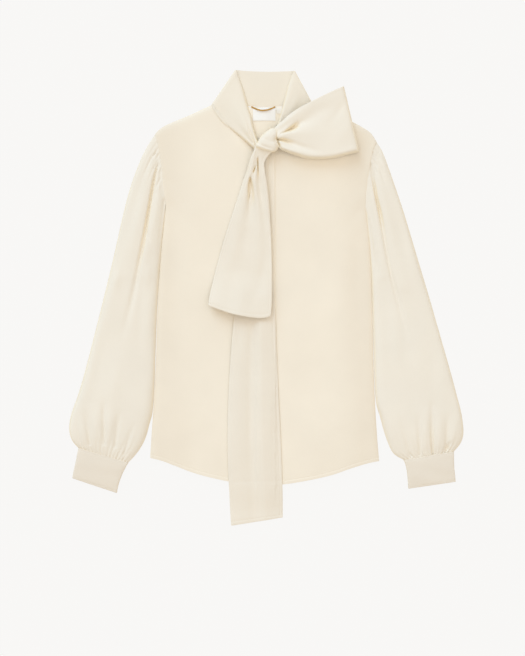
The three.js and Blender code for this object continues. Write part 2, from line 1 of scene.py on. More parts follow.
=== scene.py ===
# A tie neck blouse laid flat, front up, seen from straight above.
# Shapes are worked out in millimetres and made in metres.
import math
import bpy
import numpy as np
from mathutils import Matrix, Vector


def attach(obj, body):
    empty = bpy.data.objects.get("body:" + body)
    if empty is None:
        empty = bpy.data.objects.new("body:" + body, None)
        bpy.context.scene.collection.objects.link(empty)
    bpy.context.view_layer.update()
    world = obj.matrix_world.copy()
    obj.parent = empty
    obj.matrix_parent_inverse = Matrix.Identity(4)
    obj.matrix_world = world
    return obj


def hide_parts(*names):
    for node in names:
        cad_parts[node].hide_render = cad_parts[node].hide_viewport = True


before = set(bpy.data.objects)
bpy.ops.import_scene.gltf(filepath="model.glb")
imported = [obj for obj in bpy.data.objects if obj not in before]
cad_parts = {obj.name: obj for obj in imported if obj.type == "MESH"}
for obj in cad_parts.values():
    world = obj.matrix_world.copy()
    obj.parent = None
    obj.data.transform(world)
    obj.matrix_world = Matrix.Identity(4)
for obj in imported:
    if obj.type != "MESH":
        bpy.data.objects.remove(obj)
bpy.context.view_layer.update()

# ---- sizes, mm -----------------------------------------------------------
SCALE = 1.8               # millimetres to a pixel of the reference view
CLOTH = 0.6               # one layer
BAND = 1.1                # folded band: collar, placket, tie
CUFF = 1.2
PLACKET_LEFT, PLACKET_RIGHT = -16.4, 15.4
HEM_DEPTH = 6.0           # narrow turned hem

# ---- small tools ---------------------------------------------------------


def smooth(t):
    t = np.clip(t, 0.0, 1.0)
    return t * t * (3.0 - 2.0 * t)


def table(names, *rows):
    """Columns by name; the first column of each row is its label."""
    names = names.split()
    out = {n: np.array([r[i + 1] for r in rows], float) for i, n in enumerate(names)}
    out["label"] = [r[0] for r in rows]
    return out


def curve(x, y, q):
    """Smooth curve through the points (x rising), read at q."""
    x, y, q = np.asarray(x, float), np.asarray(y, float), np.asarray(q, float)
    m = np.empty_like(y)
    m[1:-1] = (y[2:] - y[:-2]) / (x[2:] - x[:-2])
    m[0] = (y[1] - y[0]) / (x[1] - x[0])
    m[-1] = (y[-1] - y[-2]) / (x[-1] - x[-2])
    k = np.clip(np.searchsorted(x, q, side="right") - 1, 0, len(x) - 2)
    h = x[k + 1] - x[k]
    t = np.clip((q - x[k]) / h, 0.0, 1.0)
    t2, t3 = t * t, t * t * t
    return (
        (2 * t3 - 3 * t2 + 1) * y[k]
        + (t3 - 2 * t2 + t) * h * m[k]
        + (3 * t2 - 2 * t3) * y[k + 1]
        + (t3 - t2) * h * m[k + 1]
    )


def steps(length, step, start=(), end=()):
    """Fractions 0 to 1 along a length: given distances near the ends, even ones between."""
    start, end = list(start), list(end)
    a = start[-1] if start else 0.0
    b = length - (end[-1] if end else 0.0)
    n = max(2, int(round((b - a) / step)))
    mid = list(np.linspace(a, b, n + 1))
    head = [0.0] + start[:-1] if start else []
    tail = [length - e for e in reversed(end[:-1])] + [length] if end else []
    return np.array(sorted(set(np.round(head + mid + tail, 6)))) / length


EDGE = (0.25, 0.6, 1.1, 1.8, 2.7, 3.8)


def fold_height(folds, x, y):
    """Sum of soft ridges (rise above 0) and troughs (below 0).
    Each runs through three points, with a half width and a rise at start, middle and end.
    A row that starts where the one before it ends carries the same fold on."""
    total, run, last = np.zeros_like(x), np.zeros_like(x), None
    t = np.linspace(0.0, 1.0, 25)
    for i in range(len(folds["label"])):
        f = {k: v[i] for k, v in folds.items()}
        if last is None or math.hypot(f["x0"] - last[0], f["y0"] - last[1]) > 2.6:
            total, run = total + run, np.zeros_like(x)
        last = (f["x2"], f["y2"])
        px = curve([0, 0.5, 1], [f["x0"], f["x1"], f["x2"]], t)
        py = curve([0, 0.5, 1], [f["y0"], f["y1"], f["y2"]], t)
        reach = 3.2 * max(f["half0"], f["half2"])
        near = (
            (x > px.min() - reach) & (x < px.max() + reach)
            & (y > py.min() - reach) & (y < py.max() + reach)
        )
        if not near.any():
            continue
        qx, qy = x[near], y[near]
        best = np.full(qx.shape, 1e9)
        at = np.zeros(qx.shape)
        for j in range(len(t) - 1):
            dx, dy = px[j + 1] - px[j], py[j + 1] - py[j]
            s = np.clip(((qx - px[j]) * dx + (qy - py[j]) * dy) / (dx * dx + dy * dy), 0, 1)
            d = np.hypot(qx - px[j] - s * dx, qy - py[j] - s * dy)
            closer = d < best
            best = np.where(closer, d, best)
            at = np.where(closer, t[j] + s * (t[1] - t[0]), at)
        half = f["half0"] + (f["half2"] - f["half0"]) * at
        rise = curve([0, 0.5, 1], [f["r0"], f["r1"], f["r2"]], at)
        add = rise * np.exp(-((best / half) ** 2))
        run[near] = np.where(abs(add) > abs(run[near]), add, run[near])
    return total + run


def undulate(x, y, waves):
    """Broad uneven swells: wavelength, direction, phase and height of each."""
    out = np.zeros_like(x)
    for length, direction, phase, height in waves:
        a = math.radians(direction)
        out += height * np.sin(2 * math.pi * (x * math.cos(a) + y * math.sin(a)) / length + phase)
    return out


def normals_of(P, wrap):
    du = np.gradient(P, axis=0)
    if wrap:
        dv = (np.roll(P, -1, axis=1) - np.roll(P, 1, axis=1)) / 2
    else:
        dv = np.gradient(P, axis=1)
    n = np.cross(du, dv)
    return n / np.maximum(np.linalg.norm(n, axis=2, keepdims=True), 1e-9)


def make_mesh(name, verts, faces):
    v = np.asarray(verts, float) / 1000.0
    f = np.asarray(faces, int)
    vol = 0.0
    a, b, c = v[f[:, 0]], v[f[:, 1]], v[f[:, 2]]
    vol += float((a * np.cross(b, c)).sum())
    if f.shape[1] == 4:
        a, b, c = v[f[:, 0]], v[f[:, 2]], v[f[:, 3]]
        vol += float((a * np.cross(b, c)).sum())
    if vol < 0:
        f = f[:, ::-1]
    mesh = bpy.data.meshes.new(name)
    mesh.from_pydata(v.tolist(), [], f.tolist())
    mesh.polygons.foreach_set("use_smooth", [True] * len(mesh.polygons))
    mesh.update()
    obj = bpy.data.objects.new(name, mesh)
    bpy.context.scene.collection.objects.link(obj)
    return obj


def shell(name, P, thick, wrap=False, floor=None):
    """A thin closed shell round the mid surface P, an m x n grid of points."""
    m, n = P.shape[:2]
    N = normals_of(P, wrap)
    top = P + N * thick / 2
    low = P - N * thick / 2
    if floor is not None:
        top[:, :, 2] = np.maximum(top[:, :, 2], floor)
        low[:, :, 2] = np.maximum(low[:, :, 2], floor)
    idx = np.arange(m * n).reshape(m, n)
    cols = np.arange(n if wrap else n - 1)
    nxt = (cols + 1) % n
    a = idx[:-1][:, cols].ravel()
    b = idx[:-1][:, nxt].ravel()
    c = idx[1:][:, nxt].ravel()
    d = idx[1:][:, cols].ravel()
    off = m * n
    faces = [np.stack([a, b, c, d], 1), np.stack([a, d, c, b], 1) + off]
    for row, flip in ((0, False), (m - 1, True)):
        p, q = idx[row][cols], idx[row][nxt]
        quad = np.stack([p, p + off, q + off, q], 1)
        faces.append(quad[:, ::-1] if flip else quad)
    if not wrap:
        for col, flip in ((0, True), (n - 1, False)):
            p, q = idx[:-1, col], idx[1:, col]
            quad = np.stack([p, p + off, q + off, q], 1)
            faces.append(quad[:, ::-1] if flip else quad)
    return make_mesh(name, np.concatenate([top.reshape(-1, 3), low.reshape(-1, 3)]), np.concatenate(faces))


VIEW_X, VIEW_Y, VIEW_Z = (262.5 - 266.25) * SCALE, (297.75 - 328.0) * SCALE, 656 * SCALE * 100 / 36 + 4


def drawn_in(P):
    """Outlines were measured straight from above at a height of 4; higher points move in by as much as they gain in the view."""
    k = 1 - (P[..., 2:] - 4) / (VIEW_Z - 4)
    middle = np.array([VIEW_X, VIEW_Y])
    return np.concatenate([middle + (P[..., :2] - middle) * k, P[..., 2:]], axis=-1)


def piece(obj, node, material):
    obj.data.materials.clear()
    obj.data.materials.append(material)
    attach(obj, "root")
    if node:
        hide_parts(node)
    return obj


def stitch_row(name, path, up, material, pitch=2.5, length=1.7, dia=0.34):
    """A row of single stitches lying along a path of points, each a small rounded bar."""
    path, up = np.asarray(path, float), np.asarray(up, float)
    gone = np.concatenate([[0], np.cumsum(np.linalg.norm(np.diff(path, axis=0), axis=1))])
    count = int((gone[-1] - pitch) / pitch)
    if count < 1:
        return None
    at = pitch * (0.5 + np.arange(count))
    mid = np.stack([np.interp(at, gone, path[:, k]) for k in range(3)], 1)
    ahead = np.stack([np.interp(at + 0.5, gone, path[:, k]) for k in range(3)], 1)
    along = ahead - mid
    along /= np.linalg.norm(along, axis=1, keepdims=True)
    nz = np.stack([np.interp(at, gone, up[:, k]) for k in range(3)], 1)
    nz /= np.linalg.norm(nz, axis=1, keepdims=True)
    side = np.cross(along, nz)
    r = dia / 2
    spots = ((-0.5, 0.25, -0.5), (-0.36, 0.9, 0.1), (0.0, 1.0, 0.35), (0.36, 0.9, 0.1), (0.5, 0.25, -0.5))
    around = 6
    verts, faces = [], []
    for k, (s, fat, lift) in enumerate(spots):
        for j in range(around):
            a = 2 * math.pi * j / around
            verts.append(mid + along * s * length + side * r * fat * math.cos(a) + nz * (r * fat * math.sin(a) * 0.7 + lift * r))
    verts = np.stack(verts, 1)
    base = []
    for k in range(len(spots) - 1):
        for j in range(around):
            a, b = k * around + j, k * around + (j + 1) % around
            base.append((a, b, b + around, a + around))
    base.append((3, 2, 1, 0))
    base.append((0, 5, 4, 3))
    e = (len(spots) - 1) * around
    base.append((e, e + 1, e + 2, e + 3))
    base.append((e + 3, e + 4, e + 5, e))
    base = np.array(base)
    per = verts.shape[1]
    faces = (base[None] + (np.arange(count) * per)[:, None, None]).reshape(-1, 4)
    obj = make_mesh(name, verts.reshape(-1, 3), faces)
    return piece(obj, None, material)


# ---- materials -----------------------------------------------------------


def srgb(r, g, b):
    return tuple(((c / 255 + 0.055) / 1.055) ** 2.4 if c > 10 else c / 255 / 12.92 for c in (r, g, b)) + (1.0,)


# painted light: warm tint for steep cloth faces at edges and folds
PAINTED_EDGE_WARMTH = (1.035, 1.0, 0.92)


def crepe(name, color, mottle=0.02, grain=1.0, rough=0.82, sheen=0.18, deep=None):
    """Matte crepe: a fine pebbled grain over a plain weave, slight unevenness of tone.
    deep darkens the cloth towards the side seams: painted shade, as where the raised sleeves shade the body beside
    them."""
    mat = bpy.data.materials.new(name)
    mat.use_nodes = True
    t = mat.node_tree
    n, link = t.nodes, t.links.new
    n.clear()
    out = n.new("ShaderNodeOutputMaterial")
    bsdf = n.new("ShaderNodeBsdfPrincipled")
    link(bsdf.outputs["BSDF"], out.inputs["Surface"])
    bsdf.inputs["Sheen Weight"].default_value = sheen
    bsdf.inputs["Sheen Roughness"].default_value = 0.45
    bsdf.inputs["Sheen Tint"].default_value = (1.0, 0.97, 0.92, 1.0)
    bsdf.inputs["Specular IOR Level"].default_value = 0.25
    coord = n.new("ShaderNodeTexCoord")

    tone = n.new("ShaderNodeTexNoise")
    tone.inputs["Scale"].default_value = 14.0
    tone.inputs["Detail"].default_value = 3.0
    link(coord.outputs["Object"], tone.inputs["Vector"])
    slub = n.new("ShaderNodeTexNoise")
    slub.inputs["Scale"].default_value = 900.0
    slub.inputs["Detail"].default_value = 2.0
    link(coord.outputs["Object"], slub.inputs["Vector"])
    both = n.new("ShaderNodeMath")
    both.operation = "MULTIPLY_ADD"
    both.inputs[1].default_value = 0.45
    link(slub.outputs["Fac"], both.inputs[0])
    link(tone.outputs["Fac"], both.inputs[2])
    ramp = n.new("ShaderNodeValToRGB")
    ramp.color_ramp.elements[0].position = 0.45
    ramp.color_ramp.elements[1].position = 1.0
    c = np.array(color[:3])
    ramp.color_ramp.elements[0].color = (*(c * (1 - mottle)), 1.0)
    ramp.color_ramp.elements[1].color = (*np.minimum(c * (1 + mottle), 1.0), 1.0)
    link(both.outputs[0], ramp.inputs["Fac"])
    tone_out = ramp.outputs["Color"]
    # painted shade: the cloth is darkened towards both side seams by its position
    if deep is not None:
        where = n.new("ShaderNodeSeparateXYZ")
        link(coord.outputs["Object"], where.inputs["Vector"])
        shift = n.new("ShaderNodeMath")
        shift.operation = "ADD"
        shift.inputs[1].default_value = 0.003
        link(where.outputs["X"], shift.inputs[0])
        out_from_middle = n.new("ShaderNodeMath")
        out_from_middle.operation = "ABSOLUTE"
        link(shift.outputs[0], out_from_middle.inputs[0])
        side_shade_mask = n.new("ShaderNodeMapRange")
        side_shade_mask.interpolation_type = "SMOOTHSTEP"
        side_shade_mask.inputs["From Min"].default_value = 0.115
        side_shade_mask.inputs["From Max"].default_value = 0.19
        link(out_from_middle.outputs[0], side_shade_mask.inputs["Value"])
        side_shade_mix = n.new("ShaderNodeMix")
        side_shade_mix.data_type = "RGBA"
        side_shade_mix.blend_type = "MULTIPLY"
        tint = [s for s in side_shade_mix.inputs if s.type == "RGBA"]
        tint[1].default_value = (*deep, 1.0)
        link(side_shade_mask.outputs["Result"], side_shade_mix.inputs["Factor"])
        link(tone_out, tint[0])
        tone_out = [s for s in side_shade_mix.outputs if s.type == "RGBA"][0]
    # painted light: steep faces at edges and in folds are tinted warmer, standing in for light that passes through
    # thin crepe
    turned = n.new("ShaderNodeSeparateXYZ")
    link(coord.outputs["Normal"], turned.inputs["Vector"])
    steep = n.new("ShaderNodeMath")
    steep.operation = "SUBTRACT"
    steep.inputs[0].default_value = 1.0
    link(turned.outputs["Z"], steep.inputs[1])
    painted_edge_warmth_mask = n.new("ShaderNodeMapRange")
    painted_edge_warmth_mask.interpolation_type = "SMOOTHSTEP"
    painted_edge_warmth_mask.inputs["From Min"].default_value = 0.1
    painted_edge_warmth_mask.inputs["From Max"].default_value = 0.5
    link(steep.outputs[0], painted_edge_warmth_mask.inputs["Value"])
    painted_edge_warmth = n.new("ShaderNodeMix")
    painted_edge_warmth.data_type = "RGBA"
    painted_edge_warmth.blend_type = "MULTIPLY"
    painted_edge_warmth_in = [s for s in painted_edge_warmth.inputs if s.type == "RGBA"]
    painted_edge_warmth_in[1].default_value = (*PAINTED_EDGE_WARMTH, 1.0)
    link(painted_edge_warmth_mask.outputs["Result"], painted_edge_warmth.inputs["Factor"])
    link(tone_out, painted_edge_warmth_in[0])
    link([s for s in painted_edge_warmth.outputs if s.type == "RGBA"][0], bsdf.inputs["Base Color"])

    # crinkled yarns: short pebbles, a little longer one way than the other
    stretch = n.new("ShaderNodeMapping")
    stretch.inputs["Scale"].default_value = (1.0, 0.62, 1.0)
    link(coord.outputs["Object"], stretch.inputs["Vector"])
    pebble = n.new("ShaderNodeTexNoise")
    pebble.inputs["Scale"].default_value = 1500.0
    pebble.inputs["Detail"].default_value = 2.5
    pebble.inputs["Roughness"].default_value = 0.6
    link(stretch.outputs["Vector"], pebble.inputs["Vector"])
    weave = []
    for axis in ("X", "Y"):
        w = n.new("ShaderNodeTexWave")
        w.wave_type = "BANDS"
        w.bands_direction = axis
        w.inputs["Scale"].default_value = 950.0
        w.inputs["Distortion"].default_value = 2.2
        w.inputs["Detail"].default_value = 2.0
        w.inputs["Detail Scale"].default_value = 0.6
        link(coord.outputs["Object"], w.inputs["Vector"])
        weave.append(w)
    cross = n.new("ShaderNodeMath")
    cross.operation = "MULTIPLY"
    link(weave[0].outputs["Fac"], cross.inputs[0])
    link(weave[1].outputs["Fac"], cross.inputs[1])
    height = n.new("ShaderNodeMath")
    height.operation = "MULTIPLY_ADD"
    height.inputs[1].default_value = 0.5
    link(cross.outputs[0], height.inputs[0])
    link(pebble.outputs["Fac"], height.inputs[2])
    bump = n.new("ShaderNodeBump")
    bump.inputs["Strength"].default_value = 0.35 * grain
    bump.inputs["Distance"].default_value = 0.00012
    link(height.outputs[0], bump.inputs["Height"])
    # hand-scale softness: very low swells the mesh doesn't carry
    swell = n.new("ShaderNodeTexNoise")
    swell.inputs["Scale"].default_value = 55.0
    swell.inputs["Detail"].default_value = 3.0
    link(coord.outputs["Object"], swell.inputs["Vector"])
    soft = n.new("ShaderNodeBump")
    soft.inputs["Strength"].default_value = 0.25
    soft.inputs["Distance"].default_value = 0.0009
    link(swell.outputs["Fac"], soft.inputs["Height"])
    link(soft.outputs["Normal"], bump.inputs["Normal"])
    link(bump.outputs["Normal"], bsdf.inputs["Normal"])
    level = n.new("ShaderNodeMapRange")
    level.inputs["To Min"].default_value = rough - 0.05
    level.inputs["To Max"].default_value = min(1.0, rough + 0.08)
    link(pebble.outputs["Fac"], level.inputs["Value"])
    link(level.outputs["Result"], bsdf.inputs["Roughness"])
    return mat


def satin(name, color):
    """Smooth white label ribbon: fine ribs across it and a low sheen."""
    mat = bpy.data.materials.new(name)
    mat.use_nodes = True
    t = mat.node_tree
    n, link = t.nodes, t.links.new
    bsdf = n["Principled BSDF"]
    bsdf.inputs["Sheen Weight"].default_value = 0.1
    coord = n.new("ShaderNodeTexCoord")
    rib = n.new("ShaderNodeTexWave")
    rib.bands_direction = "Y"
    rib.inputs["Scale"].default_value = 900.0
    rib.inputs["Distortion"].default_value = 0.4
    link(coord.outputs["Object"], rib.inputs["Vector"])
    ramp = n.new("ShaderNodeValToRGB")
    c = np.array(color[:3])
    ramp.color_ramp.elements[0].color = (*(c * 0.965), 1.0)
    ramp.color_ramp.elements[1].color = (*np.minimum(c, 1.0), 1.0)
    link(rib.outputs["Fac"], ramp.inputs["Fac"])
    link(ramp.outputs["Color"], bsdf.inputs["Base Color"])
    bump = n.new("ShaderNodeBump")
    bump.inputs["Strength"].default_value = 0.25
    bump.inputs["Distance"].default_value = 0.0001
    link(rib.outputs["Fac"], bump.inputs["Height"])
    link(bump.outputs["Normal"], bsdf.inputs["Normal"])
    level = n.new("ShaderNodeMapRange")
    level.inputs["To Min"].default_value = 0.38
    level.inputs["To Max"].default_value = 0.5
    link(rib.outputs["Fac"], level.inputs["Value"])
    link(level.outputs["Result"], bsdf.inputs["Roughness"])
    return mat


def thread(name, color, scale=1400.0, rough=0.6):
    """Twisted thread or cord: fine diagonal ply lines."""
    mat = bpy.data.materials.new(name)
    mat.use_nodes = True
    t = mat.node_tree
    n, link = t.nodes, t.links.new
    bsdf = n["Principled BSDF"]
    bsdf.inputs["Sheen Weight"].default_value = 0.15
    coord = n.new("ShaderNodeTexCoord")
    ply = n.new("ShaderNodeTexWave")
    ply.bands_direction = "DIAGONAL"
    ply.inputs["Scale"].default_value = scale
    ply.inputs["Distortion"].default_value = 0.8
    link(coord.outputs["Object"], ply.inputs["Vector"])
    ramp = n.new("ShaderNodeValToRGB")
    c = np.array(color[:3])
    ramp.color_ramp.elements[0].color = (*(c * 0.72), 1.0)
    ramp.color_ramp.elements[1].color = (*np.minimum(c * 1.1, 1.0), 1.0)
    link(ply.outputs["Fac"], ramp.inputs["Fac"])
    link(ramp.outputs["Color"], bsdf.inputs["Base Color"])
    bump = n.new("ShaderNodeBump")
    bump.inputs["Strength"].default_value = 0.4
    bump.inputs["Distance"].default_value = 0.0001
    link(ply.outputs["Fac"], bump.inputs["Height"])
    link(bump.outputs["Normal"], bsdf.inputs["Normal"])
    level = n.new("ShaderNodeMapRange")
    level.inputs["To Min"].default_value = rough - 0.08
    level.inputs["To Max"].default_value = rough + 0.08
    link(ply.outputs["Fac"], level.inputs["Value"])
    link(level.outputs["Result"], bsdf.inputs["Roughness"])
    return mat


# painted light and shade: the same crepe in a separate tone for each piece, set to how light falls on it, the cuffs
# and tails darker, the body and loop lighter
BODY_TONE = srgb(243, 234, 216)
SLEEVE_TONE = srgb(239, 232, 217)
TIE_TONE = srgb(240, 232, 215)
LOOP_TONE = srgb(241, 234, 219)
TAIL_TONE = srgb(238, 230, 214)
CUFF_TONE = srgb(233, 224, 208)
# deep: painted shade towards the side seams
body_cloth = crepe("crepe_body", BODY_TONE, deep=(0.955, 0.945, 0.935))
sleeve_cloth = crepe("crepe_sleeve", SLEEVE_TONE)
tie_cloth = crepe("crepe_tie", TIE_TONE)
loop_cloth = crepe("crepe_loop", LOOP_TONE)
tail_cloth = crepe("crepe_tail", TAIL_TONE)
cuff_cloth = crepe("crepe_cuff", CUFF_TONE)
sewing = thread("sewing_thread", srgb(228, 217, 196))
white_satin = satin("label_satin", srgb(247, 246, 241))
pale_satin = satin("size_tab_satin", srgb(240, 235, 224))
gold_cord = thread("gold_cord", srgb(208, 160, 66), 700.0, 0.5)

# ---- the body's outline --------------------------------------------------
SIDES = table("y right left",
    ("hem", -294, -209.2, 203.2), ("low", -250, -206.5, 199.5), ("low", -184, -202.0, 195.5),
    ("waist", -112, -198.5, 193.0), ("waist", -40, -196.5, 191.5), ("middle", 32, -193.0, 189.5),
    ("chest", 104, -187.0, 185.5), ("underarm", 168, -180.5, 178.5))
ARM_RIGHT = table("y x",
    ("underarm", 168, -180.5), ("low", 194, -184.0), ("middle", 229, -188.0), ("high", 263, -192.5), ("shoulder", 295.4, -199.6))
ARM_LEFT = table("y x",
    ("underarm", 168, 178.5), ("low", 185, 179.2), ("middle", 212, 182.5), ("high", 262, 191.5), ("shoulder", 281, 198.5))
HEM = table("x y",
    ("side", -209.2, -288.5), ("dip", -188, -293.5), ("curve", -163, -303.0), ("curve", -130, -315.5),
    ("low", -92, -325.5), ("low", -52, -333.5), ("centre", -16, -337.5), ("low", 29.5, -336.0), ("low", 71.5, -329.5),
    ("curve", 118.5, -319.0), ("curve", 154.5, -306.5), ("rise", 185.0, -297.5), ("side", 203.2, -294.0))
SHOULDER_RIGHT = table("x y",
    ("shoulder", -199.6, 295.4), ("slope", -190, 304.5), ("slope", -177, 312.0), ("slope", -141, 327.0), ("neck point", -101, 345.5))
SHOULDER_LEFT = table("x y",
    ("neck point", 93, 350.0), ("slope", 141, 323.5), ("slope", 170, 308.5), ("slope", 188, 296.5), ("shoulder", 198.5, 281.0))
NECK_RIGHT = table("x y",
    ("neck point", -101, 345.5), ("side", -80.5, 318.0), ("side", -63.5, 303.0), ("front", -47, 290.0),
    ("front", -33, 277.0), ("placket", -16.4, 262.5))
NECK_LEFT = table("x y",
    ("underlap", -16.4, 262.5), ("centre", 0, 266.0), ("front", 19.5, 275.0), ("front", 39, 292.0),
    ("side", 66, 322.0), ("neck point", 93, 350.0))
NECK_BACK = table("x y",
    ("right", -101, 345.5), ("right", -62, 345.0), ("middle", -2, 342.4), ("left", 57, 345.6), ("left", 93, 350.0))


def side_right(y):
    return np.where(y < 168, curve(SIDES["y"], SIDES["right"], y), curve(ARM_RIGHT["y"], ARM_RIGHT["x"], y))


def side_left(y):
    return np.where(y < 168, curve(SIDES["y"], SIDES["left"], y), curve(ARM_LEFT["y"], ARM_LEFT["x"], y))


def hem_y(x):
    return curve(HEM["x"], HEM["y"], x)


def shoulder_y(x):
    return np.where(x < 0, curve(SHOULDER_RIGHT["x"], SHOULDER_RIGHT["y"], x), curve(SHOULDER_LEFT["x"], SHOULDER_LEFT["y"], x))


def neck_front_y(x):
    return np.where(x < -16.4, curve(NECK_RIGHT["x"], NECK_RIGHT["y"], x), curve(NECK_LEFT["x"], NECK_LEFT["y"], x))


def top_front_y(x):
    tuck = np.where(x < 0, 6.5 * smooth((98.4 + x + 3) / 5), 5.0 * smooth((96 - x - 3) / 16))
    return np.where((x < -101) | (x > 93), shoulder_y(x), neck_front_y(x) + tuck)


def top_back_y(x):
    return np.where((x < -101) | (x > 93), shoulder_y(x), curve(NECK_BACK["x"], NECK_BACK["y"], x))


BODY_SWELLS = (
    (330.0, 20.0, 0.6, 0.55), (210.0, 75.0, 2.1, 0.40), (150.0, -35.0, 4.0, 0.28), (118.0, 12.0, 1.2, 0.22), (96.0, 55.0, 5.1, 0.14))
BODY_FOLDS = table("x0 y0 x1 y1 x2 y2 half0 half2 r0 r1 r2",
    ("right side hollow", -176, 160, -166, 60, -170, -60, 16, 22, -0.6, -1.3, -0.3),
    ("right side swell", -150, 150, -140, 40, -146, -90, 18, 26, 0.2, 0.7, 0.2),
    ("right chest swell", -110, 250, -105, 190, -95, 120, 34, 40, 0.3, 0.9, 0.2),
    ("right low swell", -110, -120, -120, -190, -112, -250, 30, 34, 0.1, 0.7, 0.2),
    ("right hem wave", -172, -210, -168, -255, -165, -300, 10, 14, 0.0, 0.5, 0.5),
    ("right hem hollow", -140, -230, -137, -270, -134, -312, 11, 13, 0.0, -0.5, -0.6),
    ("right hem wave 2", -98, -240, -96, -285, -94, -325, 14, 16, 0.0, 0.4, 0.6),
    ("right armhole pull", -180, 176, -158, 150, -130, 128, 7, 12, -0.9, -0.5, 0.0),
    ("right armhole pull 2", -186, 214, -168, 205, -146, 198, 6, 10, -0.6, -0.3, 0.0),
    ("left side hollow", 174, 150, 164, 40, 168, -80, 15, 22, -0.6, -1.2, -0.3),
    ("left side swell", 148, 120, 138, 20, 140, -90, 18, 26, 0.2, 0.8, 0.2),
    ("left chest swell", 100, 170, 104, 130, 96, 70, 34, 36, 0.2, 0.9, 0.2),
    ("left low swell", 96, -120, 104, -190, 98, -250, 30, 30, 0.1, 0.6, 0.2),
    ("left hem wave", 166, -205, 164, -250, 162, -303, 10, 14, 0.0, 0.5, 0.5),
    ("left hem hollow", 132, -230, 130, -272, 128, -316, 11, 13, 0.0, -0.5, -0.6),
    ("left hem wave 2", 84, -240, 82, -285, 80, -327, 14, 16, 0.0, 0.4, 0.6),
    ("left armhole pull", 176, 168, 156, 142, 130, 122, 7, 12, -0.9, -0.5, 0.0),
    ("left shoulder fall", 186, 300, 180, 262, 176, 226, 16, 18, -1.6, -2.0, -0.8),
    ("left shoulder swell", 128, 322, 132, 296, 140, 262, 16, 20, 0.4, 1.2, 0.6),
    ("left armhole pull 2", 182, 205, 165, 196, 146, 190, 6, 10, -0.6, -0.3, 0.0))


def body_height(x, y):
    """Height of the front cloth's middle above the surface."""
    ds = np.minimum(x - side_right(y), side_left(y) - x)
    below = smooth((176 - y) / 30)
    dh = y - hem_y(x)
    dt = np.where((x < -101) | (x > 93), shoulder_y(x) - y, np.minimum(np.hypot(x + 101, 345.5 - y), np.hypot(93 - x, 350.0 - y)))
    dn = np.where((x >= -101) & (x <= 93), neck_front_y(x) - y, 60.0)
    inner = 5.0 + 2.0 * smooth(ds / 60) * smooth((dh + 20) / 120)
    inner = inner + undulate(x, y, BODY_SWELLS) * smooth(ds / 40)
    inner = inner - 1.1 * np.exp(-np.maximum(dh, 0) / 22) + 0.4 * np.sin(x / 17.0 + 0.7) * np.exp(-np.maximum(dh, 0) / 26)
    inner = inner + fold_height(BODY_FOLDS, x, y) * smooth((ds + 4) / 14)
    side = 1 - below * np.exp(-np.maximum(ds, 0) / 4.2) - (1 - below) * 0.28 * np.exp(-np.maximum(ds, 0) / 2.2)
    shoulder = 1 - np.exp(-(np.maximum(dt, 0) + 0.9) / 3.2)
    neck = 1 - 0.5 * np.exp(-np.maximum(dn, 0) / 12) * smooth((88 - abs(x)) / 24)
    low = 1.32
    z = low + np.maximum(inner - low, 0.4) * side * shoulder * neck
    # turned hem: a little thicker, with the stitch line pressed in above it
    z = z + 0.28 * smooth((HEM_DEPTH - dh) / 0.8) - 0.22 * np.exp(-(((dh - HEM_DEPTH) / 0.9) ** 2))
    return z


def coons(x0, x1, bottom, top, left, right, u, v):
    """Fills a panel between four edges. bottom and top give y at x, left and right give x at y."""
    bx, tx = x0[0] + (x1[0] - x0[0]) * u, x0[1] + (x1[1] - x0[1]) * u
    by, ty = bottom(bx), top(tx)
    ly = by[0] + (ty[0] - by[0]) * v
    ry = by[-1] + (ty[-1] - by[-1]) * v
    lx, rx = left(ly), right(ry)
    U, V = u[None, :], v[:, None]
    cx = (1 - V) * ((1 - U) * bx[0] + U * bx[-1]) + V * ((1 - U) * tx[0] + U * tx[-1])
    cy = (1 - V) * ((1 - U) * by[0] + U * by[-1]) + V * ((1 - U) * ty[0] + U * ty[-1])
    X = (1 - V) * bx[None] + V * tx[None] + (1 - U) * lx[:, None] + U * rx[:, None] - cx
    Y = (1 - V) * by[None] + V * ty[None] + (1 - U) * ly[:, None] + U * ry[:, None] - cy
    return X, Y


HEM_STEPS = (0.3, 0.8, 1.6, 2.6, 3.6, 4.4, 5.0, 5.5, 6.0, 6.5, 7.0, 7.8, 9.0, 11.0)


def snap(u, at):
    u = u.copy()
    u[np.argmin(abs(u - at))] = at
    return u


def front_panel(which):
    v = steps(620, 3.4, HEM_STEPS, EDGE)
    if which == "right":
        u = snap(steps(190, 3.0, EDGE, EDGE), (199.6 - 101) / (199.6 - 16.4))
        X, Y = coons((-209.2, -199.6), (-16.6, -16.6), hem_y, top_front_y, side_right, lambda y: np.full_like(y, -16.6), u, v)
    else:
        u = snap(steps(218, 3.0, EDGE, EDGE), (93 + 16.4) / (198.5 + 16.4))
        X, Y = coons((-16.2, -16.2), (203.2, 198.5), hem_y, top_front_y, lambda y: np.full_like(y, -16.2), side_left, u, v)
    Z = body_height(X, Y)
    P = np.stack([X, Y, Z], 2)
    obj = shell(f"blouse_front_{which}", P, CLOTH)
    piece(obj, f"front_{which}", body_cloth)
    # hem stitching on the front
    i = int(np.argmin(abs(v * 620 - HEM_DEPTH)))
    N = normals_of(P, False)
    rows = stitch_row(f"hem_stitches_{which}", P[i] + N[i] * CLOTH / 2, N[i], sewing)
    return obj, rows


